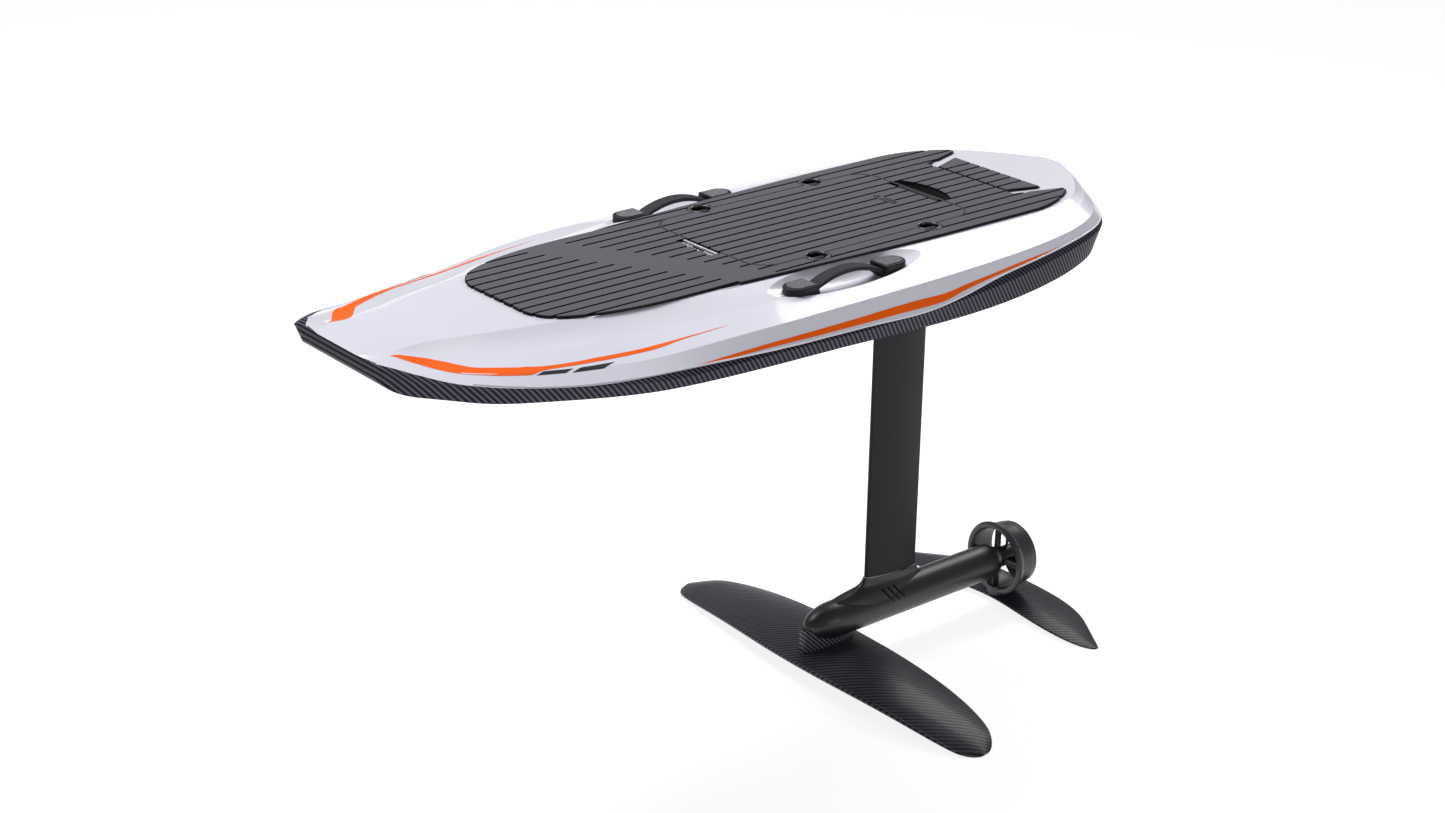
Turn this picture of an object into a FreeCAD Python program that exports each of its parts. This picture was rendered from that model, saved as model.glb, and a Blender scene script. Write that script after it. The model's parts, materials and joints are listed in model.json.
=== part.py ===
"""Electric hydrofoil surfboard, standing on its wings.

Row frame: +X to the nose, +Y to port, +Z up, millimetres.
The origin is on the floor, under the middle of the craft's length.
Board pieces are drawn about the deck pad's top and foil pieces about the pod's axis;
each piece's Placement lifts it to its height above the floor.
"""

import FreeCAD
import Part
import Sketcher
import math
import os

V = FreeCAD.Vector
PORT_AND_STARBOARD = (1, -1)

# name, value, what it is
SIZES = [
    ("board_length", 1748, "nose to tail"),
    ("board_width", 720, "over the rails"),
    ("board_middle", 5, "middle of the board's length"),
    ("bottom_depth", 126, "deck pad top to the lowest line of the hull"),
    ("deck_height", 1016, "floor to the top of the deck pad"),
    ("shell_wall", 2, "laminate of deck and hull"),
    ("pad_thickness", 6, "foam deck pad"),
    ("pad_base", 1.5, "foam left under the grooves"),
    ("pad_undercut", 6, "pad's base behind its edge"),
    ("pad_bevel", 2.5, "pad's edge"),
    ("pad_gap", 4, "deck pad to tail pad"),
    ("groove_pitch", 30, "between the pad's grooves"),
    ("groove_width", 6, "one groove in the pad"),
    ("band_start", 269, "front edge of the pad's blank band, at the middle"),
    ("band_width", 92, "blank band, along the board"),
    ("band_slant", 0.6, "band's shift along the board for each mm to port"),
    ("hatch_front", 75, "front edge of the hatch"),
    ("hatch_rear", -477, "rear edge of the hatch"),
    ("hatch_half_width", 165, "half the hatch's width"),
    ("hatch_corner", 50, "corner of the hatch"),
    ("hatch_gap", 2, "gap all round the hatch"),
    ("lid_thickness", 10, "hatch panel under its pad"),
    ("latch_front", -57, "centre of the front pair of latches"),
    ("latch_rear", -345, "centre of the rear pair of latches"),
    ("latch_offset", 173, "latch centres from the middle"),
    ("latch_radius", 22.5, "latch cup"),
    ("latch_land", 4, "hatch's ear round the latch cup"),
    ("latch_depth", 15, "latch cup"),
    ("latch_wall", 2, "latch cup"),
    ("knob_width", 9, "latch bar"),
    ("key_centre", -390, "oval slot in the hatch"),
    ("key_half_length", 32, "half the oval slot"),
    ("key_half_width", 7, "half the oval slot's width"),
    ("rim_width", 18, "ledge that the hatch rests on"),
    ("rim_thickness", 4, "ledge that the hatch rests on"),
    ("bay_wall", 3, "battery bay tub"),
    ("bay_clearance", 1, "tub to the inside of the hull"),
    ("bay_corner", 12, "battery bay's outer corner"),
    ("battery_length", 380, "battery case"),
    ("battery_gap", 4, "battery case to the bay's walls"),
    ("battery_headroom", 6, "battery case to the hatch"),
    ("hinge_radius", 4, "hinge barrel"),
    ("hinge_pin", 1.5, "hinge pin radius"),
    ("hinge_half_width", 50, "half the hinge's width"),
    ("hinge_setback", 7, "hinge axis ahead of the hatch"),
    ("hinge_play", 0.5, "between the hinge's knuckles"),
    ("slot_front", 26, "front of the hinge's slot ahead of the hatch"),
    ("slot_margin", 4, "hinge's slot beside the hinge"),
    ("grip_notch", 12, "how far the grip's opening reaches into the hatch"),
    ("grip_reach", 45, "how far the grip's opening reaches behind the hatch"),
    ("grip_half_width", 76, "half the grip's opening"),
    ("grip_depth", 34, "grip recess under the pad's top"),
    ("grip_wall", 2, "grip recess"),
    ("grip_setback", 7, "grip bar's middle behind the hatch"),
    ("grip_radius", 7, "grip bar"),
    ("handle_middle", -53, "middle of the carry handle"),
    ("handle_span", 114, "middle of a handle's foot to the handle's middle"),
    ("handle_offset", 257, "handle's line from the board's middle"),
    ("foot_length", 62, "one foot"),
    ("foot_width", 50, "one foot"),
    ("foot_top", -16, "top of a foot over the pad's top"),
    ("recess_depth", 38, "bottom of the handle's recess under the pad's top"),
    ("recess_radius", 60, "roundness of the recess across the board"),
    ("recess_half_length", 290, "where the recess's spindle ends, fore and aft"),
    ("strap_width", 30, "carry strap"),
    ("strap_thickness", 8, "carry strap"),
    ("strap_top", 3, "top of the strap over the pad's top"),
    ("strap_rise", 24, "strap's arch"),
    ("mast_front", -375, "mast's leading edge"),
    ("mast_chord", 145, "mast, leading to trailing edge"),
    ("mast_thickness", 20, "mast"),
    ("plate_length", 200, "plate under the hull"),
    ("plate_width", 104, "plate under the hull"),
    ("plate_lead", 28, "plate ahead of the mast"),
    ("plate_thickness", 5, "plate under the hull's lowest line"),
    ("pod_height", 107, "floor to the pod's axis"),
    ("pod_radius", 39.5, "pod"),
    ("pod_wall", 5, "pod's housing"),
    ("pod_nose_tip", -210, "front of the pod"),
    ("pod_nose_length", 84, "rounded part of the pod's nose"),
    ("housing_front", -390, "joint between nose and motor housing"),
    ("housing_rear", -738, "joint between housing and tail cone"),
    ("cone_rear", -768, "rear face of the tail cone"),
    ("cone_radius", 24, "rear face of the tail cone"),
    ("motor_front", -590, "motor in its housing"),
    ("motor_fit", 0.3, "motor in its housing"),
    ("fairing_top_front", 71, "fairing's top over the pod's axis, in front"),
    ("fairing_top_rear", 59, "fairing's top over the pod's axis, behind"),
    ("vent_width", 4, "cooling slit in the fairing"),
    ("vent_depth", 3, "cooling slit in the fairing"),
    ("vent_pitch", 17, "between the slits"),
    ("duct_front", -763, "front lip of the duct"),
    ("duct_split", -779, "joint between the duct's two rings"),
    ("duct_rear", -828, "rear edge of the duct"),
    ("duct_radius", 84, "outside of the flared front lip"),
    ("duct_bore", 68, "inside of the duct"),
    ("vane_count", 4, "struts that carry the duct"),
    ("vane_thickness", 5, "one strut"),
    ("vane_chord", 20, "one strut, fore and aft"),
    ("stator_length", 18, "hub behind the tail cone"),
    ("blade_count", 3, "propeller"),
    ("tip_clearance", 5, "blade tip to duct"),
    ("prop_hub_radius", 20, "propeller hub"),
    ("prop_hub_length", 30, "propeller hub"),
    ("spinner_length", 20, "behind the propeller hub"),
    ("shaft_radius", 6, "propeller shaft"),
    ("shaft_fit", 0.05, "running fit of shaft and hinge pin"),
    ("running_gap", 2, "propeller hub to the stator"),
    ("saddle_front", -198, "block between pod and front wing"),
    ("saddle_rear", -350, "block between pod and front wing"),
    ("saddle_width", 46, "block between pod and front wing"),
    ("front_wing_front", -167, "leading edge at the middle"),
    ("front_wing_span", 950, "tip to tip"),
    ("front_wing_drop", 44, "tips below the middle"),
    ("front_wing_thickness", 22, "at the middle"),
    ("rear_wing_front", -757, "leading edge at the middle"),
    ("rear_wing_span", 604, "tip to tip"),
    ("rear_wing_drop", 15, "tips below the middle"),
    ("rear_wing_thickness", 11, "at the middle"),
    ("pylon_width", 56, "block between duct and rear wing"),
]

doc = FreeCAD.newDocument("Hydrofoil")
sheet = doc.addObject("Spreadsheet::Sheet", "Sizes")
for row, (alias, value, note) in enumerate(SIZES, start=1):
    sheet.set(f"A{row}", note)
    sheet.set(f"B{row}", str(value))
    sheet.setAlias(f"B{row}", alias)
doc.recompute()

PIECES = []


def size(alias):
    """The value of a named size."""
    return float(sheet.get(alias))


def keep(feature, label, height=None):
    """Name a finished piece and lift it to the height of its own reference plane."""
    feature.Label = label
    if height:
        feature.setExpression("Placement.Base.z", f"Sizes.{height}")
    PIECES.append(feature)
    return feature


def formed(label, shape, height):
    """A piece whose shape is worked out here."""
    feature = doc.addObject("Part::Feature", label)
    feature.Shape = shape
    return keep(feature, label, height)


def new_body(label, height):
    """An empty body for a sketched piece."""
    return keep(doc.addObject("PartDesign::Body", label), label, height)


def sketch_on(body, name, role):
    """A sketch on one of a body's own origin planes."""
    sketch = body.newObject("Sketcher::SketchObject", name)
    plane = next(item for item in body.Origin.OriginFeatures if item.Role == role)
    sketch.AttachmentSupport = [(plane, "")]
    sketch.MapMode = "FlatFace"
    return sketch


def pin_point(sketch, geometry, position, axis, expression):
    """Hold one coordinate of a sketch point to an expression."""
    value = float(sketch.evalExpression(expression))
    kind = "DistanceX" if axis == 0 else "DistanceY"
    other = -2 if axis == 0 else -1
    if abs(value) < 1e-9:
        sketch.addConstraint(Sketcher.Constraint("PointOnObject", geometry, position, other))
        return
    index = sketch.addConstraint(Sketcher.Constraint(kind, -1, 1, geometry, position, value))
    sketch.setExpression(f"Constraints[{index}]", expression)


def outline(sketch, corners):
    """A closed outline of straight lines; every corner is a pair of expressions."""
    places = [V(*(float(sketch.evalExpression(text)) for text in corner), 0) for corner in corners]
    count = len(places)
    for index in range(count):
        sketch.addGeometry(Part.LineSegment(places[index], places[(index + 1) % count]), False)
    for index in range(count):
        sketch.addConstraint(Sketcher.Constraint("Coincident", index, 2, (index + 1) % count, 1))
    for index, corner in enumerate(corners):
        for axis in (0, 1):
            pin_point(sketch, index, 1, axis, corner[axis])


def revolved(label, corners):
    """A turned piece about the pod's axis; corners are (x, radius) expressions."""
    body = new_body(label, "pod_height")
    sketch = sketch_on(body, label + "_profile", "XZ_Plane")
    outline(sketch, corners)
    turn = body.newObject("PartDesign::Revolution", label + "_turn")
    turn.Profile = sketch
    turn.ReferenceAxis = (sketch, ["H_Axis"])
    turn.Angle = 360
    body.Tip = turn
    return body


def wire(*edges):
    """A wire from curves in order."""
    return Part.Wire([edge.toShape() for edge in edges])


def polygon(points):
    """A closed wire of straight lines."""
    return Part.makePolygon([V(*point) for point in points] + [V(*points[0])])


def prism(points, direction):
    """A solid from a flat outline and a direction."""
    return Part.Face(polygon(points)).extrude(V(*direction))


def plan_points(x_low, x_high, half_width, z):
    """Corners of a rectangle in plan."""
    return [(x_low, -half_width, z), (x_high, -half_width, z), (x_high, half_width, z), (x_low, half_width, z)]


def rounded_plate(x_low, x_high, half_width, corner, z_low, z_high):
    """A plate with round corners, the same to port and starboard."""
    block = prism(plan_points(x_low, x_high, half_width, z_low), (0, 0, z_high - z_low))
    upright = [edge for edge in block.Edges if abs(edge.tangentAt(edge.FirstParameter).z) > 0.99]
    return block.makeFillet(corner, upright)


def rounded_band(x, z_low, z_high, middle, width, corner):
    """A band's upright section with round corners."""
    block = prism([(x, middle - width / 2, z_low), (x, middle + width / 2, z_low),
                   (x, middle + width / 2, z_high), (x, middle - width / 2, z_high)], (1, 0, 0))
    block = block.makeFillet(corner, [edge for edge in block.Edges if abs(edge.tangentAt(edge.FirstParameter).x) > 0.99])
    return min(block.Faces, key=lambda face: face.CenterOfMass.x)


def mirrored(shape):
    """The same shape on the starboard side."""
    return shape.mirror(V(0, 0, 0), V(0, 1, 0))


def along_board(share):
    """Place along the board from a share of half its length."""
    return size("board_middle") + share * size("board_length") / 2


def across_board(y):
    """A half width, drawn on a board 720 mm wide, on this board."""
    return y * size("board_width") / 720


def under_board(depth):
    """A depth of the hull, drawn on a board 126 mm deep, on this board."""
    return depth * size("bottom_depth") / 126


# The board
#
# Stations from nose to tail. Each line of the deck and hull is a half width and a depth under the pad's top:
# along, crown depth, flat deck, valley, its depth, ridge, its depth, shoulder, its depth, rail, its depth, chine, bottom
STATIONS = [
    (1.000, 12, 56, 74, 13.5, 95, 13, 122, 15, 136, 20, 108, 32),
    (0.990, 11, 74, 95, 13.5, 118, 14, 144, 17, 160, 25, 134, 50),
    (0.965, 10, 88, 108, 13.5, 134, 17, 164, 21, 184, 30, 158, 62),
    (0.915, 9, 88, 104, 16, 126, 21, 176, 26, 214, 36, 186, 71),
    (0.850, 8, 92, 116, 19, 142, 27, 202, 33, 247, 48, 224, 80),
    (0.730, 7, 122, 158, 23, 193, 30, 248, 41, 288, 61, 266, 91),
    (0.600, 6.2, 148, 185, 24, 218, 31, 284, 47, 326, 69, 304, 98),
    (0.500, 6.2, 172, 204, 21, 234, 30, 306, 48, 348, 75, 326, 102),
    (0.370, 6.2, 189, 217, 19, 246, 28, 325, 41, 358, 77, 337, 106),
    (0.200, 6.2, 202, 232, 14, 262, 23, 334, 37, 360, 79, 339, 111),
    (0.000, 6.2, 212, 243, 11, 278, 19, 335, 36, 360, 84, 338, 116),
    (-0.250, 6.2, 226, 252, 11, 284, 19, 334, 35, 360, 82, 336, 125),
    (-0.450, 6.2, 231, 254, 11, 280, 18, 328, 33, 354, 72, 333, 125),
    (-0.620, 6.2, 233, 252, 11, 273, 17, 314, 31, 334, 63, 318, 119),
    (-0.760, 6.2, 221, 236, 11.5, 252, 16, 285, 29, 305, 56, 288, 112),
    (-0.850, 6.2, 186, 198, 11, 213, 15, 243, 27, 268, 51, 248, 106),
    (-0.925, 6.2, 122, 132, 10.5, 145, 14, 166, 25, 187, 47, 166, 101),
    (-0.975, 6.2, 58, 66, 9, 76, 12, 90, 23, 104, 43, 86, 96),
    (-1.000, 6.2, 20, 25, 8, 31, 11, 38, 20, 46, 40, 32, 90),
]


def board_section(station, inset):
    """One closed section of the board, moved inwards by a wall."""
    along, crown, deck, valley, valley_down, ridge, ridge_down, *sides = station
    shoulder, shoulder_down, rail, rail_down, chine, bottom = sides
    x = along_board(along)
    if abs(along) == 1:
        x -= math.copysign(inset, along)
    half = [
        V(x, across_board(y) - inset, z)
        for y, z in (
            (deck, -crown - inset),
            (valley, -valley_down - inset),
            (ridge, -ridge_down - inset),
            (shoulder, -shoulder_down - inset),
            (rail, -rail_down),
            (chine, -under_board(bottom) + inset),
        )
    ]
    other = [V(point.x, -point.y, point.z) for point in half]
    return wire(
        Part.LineSegment(other[0], half[0]),
        Part.Arc(half[0], half[1], half[2]),
        Part.LineSegment(half[2], half[3]),
        Part.LineSegment(half[3], half[4]),
        Part.LineSegment(half[4], half[5]),
        Part.LineSegment(half[5], other[5]),
        Part.LineSegment(other[5], other[4]),
        Part.LineSegment(other[4], other[3]),
        Part.LineSegment(other[3], other[2]),
        Part.Arc(other[2], other[1], other[0]),
    )


def handle_recess(side, grow):
    """The hollow under a carry handle, a spindle that lies along the board."""
    half = size("recess_half_length") + grow
    reach = size("recess_radius") + grow
    arc = Part.Arc(V(-half, 0, 0), V(0, 0, -reach), V(half, 0, 0))
    face = Part.Face(wire(arc, Part.LineSegment(V(half, 0, 0), V(-half, 0, 0))))
    spindle = face.revolve(V(0, 0, 0), V(1, 0, 0), 360)
    spindle.translate(
        V(size("handle_middle"), side * size("handle_offset"), size("recess_radius") - size("recess_depth"))
    )
    return spindle


def board_solid(inset):
    """The whole board's body, or the space inside its walls."""
    body = Part.makeLoft([board_section(station, inset) for station in STATIONS], True, False)
    return body.cut([handle_recess(side, inset) for side in PORT_AND_STARBOARD])


# The line where white deck meets dark hull: along, depth under the pad's top
SPLIT_LINE = [
    (1.06, 15),
    (0.97, 18),
    (0.92, 31),
    (0.85, 45),
    (0.72, 60),
    (0.55, 67),
    (0.38, 68),
    (0.17, 75),
    (-0.05, 80),
    (-0.20, 83),
    (-0.31, 75),
    (-0.42, 62),
    (-0.55, 54),
    (-0.72, 48),
    (-1.06, 43),
]


def under_split():
    """A block that holds what lies under the line between deck and hull."""
    half_width = size("board_width")
    low = -3 * size("bottom_depth")
    points = [V(along_board(along), -half_width, -down) for along, down in SPLIT_LINE]
    curve = Part.BSplineCurve()
    curve.interpolate(points)
    front, rear = points[0], points[-1]
    outline_wire = wire(
        curve,
        Part.LineSegment(rear, V(rear.x, rear.y, low)),
        Part.LineSegment(V(rear.x, rear.y, low), V(front.x, front.y, low)),
        Part.LineSegment(V(front.x, front.y, low), front),
    )
    return Part.Face(outline_wire).extrude(V(0, 2 * half_width, 0))


def hatch_outline(grow, z_low, z_high):
    """The hatch's plan, ears round the latches with it, between two heights."""
    plate = rounded_plate(
        size("hatch_rear") - grow,
        size("hatch_front") + grow,
        size("hatch_half_width") + grow,
        size("hatch_corner") + grow,
        z_low,
        z_high,
    )
    ears = [
        Part.makeCylinder(size("latch_radius") + size("latch_land") + grow, z_high - z_low, V(x, y, z_low))
        for x, y in LATCHES
    ]
    return plate.fuse(ears).removeSplitter()


LATCHES = [
    (x, side * size("latch_offset")) for x in (size("latch_front"), size("latch_rear")) for side in PORT_AND_STARBOARD
]

pad = size("pad_thickness")
wall = size("shell_wall")
gap = size("hatch_gap")
lid_bottom = -pad - size("lid_thickness")
rim_bottom = lid_bottom - size("rim_thickness")
high = 60

outer = board_solid(0)
shell = outer.cut(board_solid(wall))
lower = under_split()

# The deck's opening for the hatch, with a slot for the hinge and a hole for the grip
hinge_x = size("hatch_front") + size("hinge_setback")
hinge_z = -size("hinge_radius") - size("hinge_play")
slot_floor = hinge_z - size("hinge_radius") - size("hinge_play")
slot_half = size("hinge_half_width") + size("slot_margin")
hinge_slot = prism(
    plan_points(size("hatch_front") - size("hatch_corner"), hinge_x + size("hinge_setback"), slot_half, slot_floor),
    (0, 0, high),
)
pad_slot = prism(
    plan_points(size("hatch_front"), size("hatch_front") + size("slot_front"), slot_half, -pad), (0, 0, high)
)
recess_front = size("hatch_rear") - gap
recess_rear = size("hatch_rear") - size("grip_reach")


def grip_plan(grow, z_low, z_high):
    """The grip's opening behind the hatch, its rear edge a flat arch, between two heights."""
    half = size("grip_half_width") + grow
    front = recess_front + grow
    rear = recess_rear - grow
    side_rear = (front + rear) / 2
    face = Part.Face(
        wire(
            Part.LineSegment(V(front, half, z_low), V(front, -half, z_low)),
            Part.LineSegment(V(front, -half, z_low), V(side_rear, -half, z_low)),
            Part.Arc(V(side_rear, -half, z_low), V(rear, 0, z_low), V(side_rear, half, z_low)),
            Part.LineSegment(V(side_rear, half, z_low), V(front, half, z_low)),
        )
    )
    return face.extrude(V(0, 0, z_high - z_low))


hatch_hole = hatch_outline(gap, lid_bottom - 3 * gap, high)
grip_hole = grip_plan(0, -size("grip_depth"), high)
deck_hole = hatch_hole.fuse([hinge_slot, grip_hole])
formed("deck_shell", shell.cut([lower, deck_hole, grip_plan(size("grip_wall"), -high, -pad)]), "deck_height")
formed("hull_bottom", shell.common(lower), "deck_height")

# The battery bay: a tub whose rim carries the hatch
shallow = under_board(min(bottom for along, *_, bottom in STATIONS if abs(along) < 0.4))
bay_depth = shallow - wall - size("bay_wall") - size("bay_clearance")
tub_outer = rounded_plate(
    size("hatch_rear") + size("rim_width"),
    size("hatch_front") - size("rim_width"),
    size("hatch_half_width") - size("rim_width"),
    size("bay_corner"),
    -bay_depth - size("bay_wall"),
    lid_bottom,
)
inner_half = size("hatch_half_width") - size("rim_width") - size("bay_wall")
tub_space = rounded_plate(
    size("hatch_rear") + size("rim_width") + size("bay_wall"),
    size("hatch_front") - size("rim_width") - size("bay_wall"),
    inner_half,
    size("bay_corner") - size("bay_wall"),
    -bay_depth,
    high,
)
COLLAR_SEAT = 0.5
collar = hatch_outline(gap + size("bay_wall"), rim_bottom, -pad - wall - COLLAR_SEAT).cut(
    hatch_outline(gap, lid_bottom, high)
)
handle_room = [handle_recess(side, wall + COLLAR_SEAT) for side in PORT_AND_STARBOARD]
tub = collar.fuse(tub_outer).cut([tub_space, hinge_slot, grip_plan(size("grip_wall"), -high, high)] + handle_room)
formed("battery_bay", tub, "deck_height")

battery = doc.addObject("Part::Box", "battery_pack")
battery.setExpression("Length", "Sizes.battery_length")
battery.setExpression(
    "Width", "2 * (Sizes.hatch_half_width - Sizes.rim_width - Sizes.bay_wall - Sizes.battery_gap)"
)
battery.Height = bay_depth + lid_bottom - size("battery_headroom")
battery.setExpression(
    "Placement.Base.x",
    "Sizes.hatch_rear + Sizes.rim_width + Sizes.bay_wall + Sizes.battery_gap",
)
battery.setExpression(
    "Placement.Base.y", "Sizes.rim_width + Sizes.bay_wall + Sizes.battery_gap - Sizes.hatch_half_width"
)
battery.setExpression("Placement.Base.z", f"Sizes.deck_height - {bay_depth} mm / 1 mm")
keep(battery, "battery_pack")

# The deck pad's port side, from the nose to the finger beside the tail pad: share of half the length, half width
PAD_SIDE = [
    (0.572, 150),
    (0.490, 177),
    (0.287, 195),
    (-0.061, 212),
    (-0.373, 223),
    (-0.629, 227),
    (-0.738, 216),
    (-0.808, 191),
    (-0.841, 172),
]
PAD_FRONT = 0.6236
PAD_CORNER = (0.610, 118)
FINGER_END = (-0.847, 163)
FINGER_INSIDE = (-0.841, 156)
FINGER_ROOT = (-0.722, 124)
TAIL_FRONT = -0.722
TAIL_REAR = -0.811
TAIL_FRONT_HALF = 100
TAIL_REAR_HALF = 124


def pad_point(place, side, z, inset=0.0):
    """A point of the pad's outline, moved inwards by an inset."""
    along, half_width = place
    return V(along_board(along), side * (across_board(half_width) - inset), z)


def pad_side(side, z, inset):
    """One side of the deck pad's outline, from the front edge to the finger's root."""
    front = V(along_board(PAD_FRONT) - inset, side * (across_board(62) - inset), z)
    corner = pad_point(PAD_CORNER, side, z, inset)
    points = [pad_point(place, side, z, inset) for place in PAD_SIDE]
    curve = Part.BSplineCurve()
    curve.interpolate(points)
    end = pad_point(FINGER_END, side, z) + V(inset, 0, 0)
    inside = pad_point(FINGER_INSIDE, side, z, -inset)
    root = pad_point(FINGER_ROOT, side, z, -inset) + V(inset, 0, 0)
    return [
        Part.Arc(front, corner, points[0]).toShape(),
        curve.toShape(),
        Part.Arc(points[-1], end, inside).toShape(),
        Part.LineSegment(inside, root).toShape(),
    ]


def pad_outline(z, inset=0.0):
    """The deck pad's whole outline as a closed wire."""
    port = pad_side(1, z, inset)
    starboard = pad_side(-1, z, inset)
    front = Part.LineSegment(starboard[0].firstVertex().Point, port[0].firstVertex().Point)
    rear = Part.LineSegment(port[-1].lastVertex().Point, starboard[-1].lastVertex().Point)
    return Part.Wire(Part.__sortEdges__(port + [rear.toShape()] + starboard + [front.toShape()]))


def tail_outline(z, inset=0.0):
    """The tail pad's outline as a closed wire."""
    front = along_board(TAIL_FRONT) - size("pad_gap") - inset
    rear = along_board(TAIL_REAR) + inset
    front_half = across_board(TAIL_FRONT_HALF) - inset
    rear_half = across_board(TAIL_REAR_HALF) - inset
    return polygon([(front, -front_half, z), (front, front_half, z), (rear, rear_half, z), (rear, -rear_half, z)])


def foam_layers(plan):
    """A pad from its outline: a base that stands back, then the foam, then a slanted edge."""
    base = Part.Face(plan(-pad, size("pad_undercut"))).extrude(V(0, 0, size("pad_base")))
    side = Part.Face(plan(-pad + size("pad_base"))).extrude(V(0, 0, pad - size("pad_base") - size("pad_bevel")))
    edge = Part.makeLoft([plan(-size("pad_bevel")), plan(0, size("pad_bevel"))], True, True)
    return base.fuse([side, edge])


def groove(x_low, x_high, y, z_top):
    """A cutter for one groove along the board, its ends round."""
    half = size("groove_width") / 2
    floor = z_top - pad + size("pad_base")
    ends = [Part.makeCylinder(half, high, V(x, y, floor)) for x in (x_low, x_high)]
    box = Part.makeBox(x_high - x_low, 2 * half, high, V(x_low, y - half, floor))
    return box.fuse(ends)


GROOVE_LINES = [
    side * (index + 0.5) * size("groove_pitch") for index in range(8) for side in PORT_AND_STARBOARD
]
beyond = size("board_length")


def band_front(y):
    """Front edge of the blank band at one line."""
    return size("band_start") - size("band_slant") * y


deck_pad = foam_layers(pad_outline).cut([deck_hole, pad_slot])
deck_pad = deck_pad.cut([groove(band_front(y), beyond, y, 0) for y in GROOVE_LINES])
deck_pad = deck_pad.cut([groove(-beyond, band_front(y) - size("band_width"), y, 0) for y in GROOVE_LINES])
formed("deck_pad", deck_pad.removeSplitter(), "deck_height")

tail_lines = [y for y in GROOVE_LINES if abs(y) < across_board(TAIL_FRONT_HALF)]
tail_pad = foam_layers(tail_outline).cut([groove(-beyond, beyond, y, 0) for y in tail_lines])
formed("tail_pad", tail_pad.removeSplitter(), "deck_height")


# The hatch: panel, pad, latches, key slot and grip
def key_plan(shrink, z_low, z_high):
    """The oval slot's plan, the same in the panel, the pad and its own insert."""
    half = size("key_half_width") - shrink
    reach = size("key_half_length") - size("key_half_width")
    ends = [
        Part.makeCylinder(half, z_high - z_low, V(size("key_centre"), side * reach, z_low))
        for side in PORT_AND_STARBOARD
    ]
    box = Part.makeBox(2 * half, 2 * reach, z_high - z_low, V(size("key_centre") - half, -reach, z_low))
    return box.fuse(ends).removeSplitter()


cup_holes = [Part.makeCylinder(size("latch_radius"), 2 * high, V(x, y, -high)) for x, y in LATCHES]
key_hole = key_plan(0, -high, high)
lid_notch = prism(
    plan_points(size("hatch_rear") - high, size("hatch_rear") + size("grip_notch"), size("grip_half_width"), -high),
    (0, 0, 2 * high),
)
lid_cutters = cup_holes + [key_hole, lid_notch]
formed("hatch_lid", hatch_outline(0, lid_bottom, -pad).cut(lid_cutters), "deck_height")

hatch_lines = [y for y in GROOVE_LINES if abs(y) < size("hatch_half_width")]
hatch_pad = hatch_outline(0, -pad, 0).cut(lid_cutters).cut([groove(-beyond, beyond, y, 0) for y in hatch_lines])
formed("hatch_pad", hatch_pad, "deck_height")

rim = size("latch_radius")
cup_floor = -size("latch_depth")
cups = []
knobs = []
for x, y in LATCHES:
    centre = V(x, y, 0)
    cup = Part.makeCylinder(rim, size("latch_depth"), centre + V(0, 0, cup_floor))
    hollow = Part.makeCylinder(
        rim - size("latch_wall"), size("latch_depth"), centre + V(0, 0, cup_floor + size("latch_wall"))
    )
    cups.append(cup.cut(hollow))
    knob_base = cup_floor + size("latch_wall")
    reach = rim - 2 * size("latch_wall")
    bar = Part.makeBox(2 * reach, size("knob_width"), 9, centre + V(-reach, -size("knob_width") / 2, knob_base))
    round_bar = bar.common(Part.makeCylinder(reach, high, centre + V(0, 0, knob_base)))
    dome = Part.makeCylinder(size("knob_width"), 4, centre + V(0, 0, knob_base))
    knobs.append(round_bar.fuse(dome))
formed("latch_cups", Part.makeCompound(cups), "deck_height")
formed("latch_knobs", Part.makeCompound(knobs), "deck_height")

insert_low = lid_bottom
insert_wall = 2
key_insert = key_plan(0, insert_low, -1).cut(key_plan(insert_wall, insert_low + insert_wall, high))
formed("key_slot", key_insert, "deck_height")

tray_top = -pad
tray = grip_plan(size("grip_wall"), -size("grip_depth"), tray_top)
tray_space = grip_plan(0, -size("grip_depth") + size("grip_wall"), high)
front_sill = prism(
    plan_points(recess_front - 1, recess_front + 2 * size("grip_wall"), size("grip_half_width"), lid_bottom - gap),
    (0, 0, high),
)
formed("grip_recess", tray.cut([tray_space, front_sill]), "deck_height")

grip_x = size("hatch_rear") - size("grip_setback")
grip_z = -size("grip_radius") - 1
grip_end = size("grip_half_width") - 6
grip_bar = Part.makeCylinder(size("grip_radius"), 2 * grip_end, V(grip_x, -grip_end, grip_z), V(0, 1, 0))
lug_width = 9
lug_height = 7
lugs = [
    Part.makeBox(
        size("hatch_rear") + size("grip_notch") - grip_x,
        lug_width,
        lug_height,
        V(grip_x, side * (grip_end - lug_width) - lug_width / 2, lid_bottom + 1),
    )
    for side in PORT_AND_STARBOARD
]
formed("grip_bar", grip_bar.fuse(lugs), "deck_height")

# The hinge at the hatch's front edge: two fixed knuckles with the pin, one between them on the hatch
third = 2 * size("hinge_half_width") / 3
barrel = size("hinge_radius")
pin = Part.makeCylinder(size("hinge_pin"), 3 * third, V(hinge_x, -1.5 * third, hinge_z), V(0, 1, 0))
fixed = [pin]
for y_low in (-1.5 * third, 0.5 * third):
    foot = Part.makeBox(size("hinge_setback"), third, barrel, V(hinge_x, y_low, hinge_z - barrel))
    fixed.append(Part.makeCylinder(barrel, third, V(hinge_x, y_low, hinge_z), V(0, 1, 0)).fuse(foot))
formed("hinge_bracket", fixed[0].fuse(fixed[1:]), "deck_height")

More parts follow.
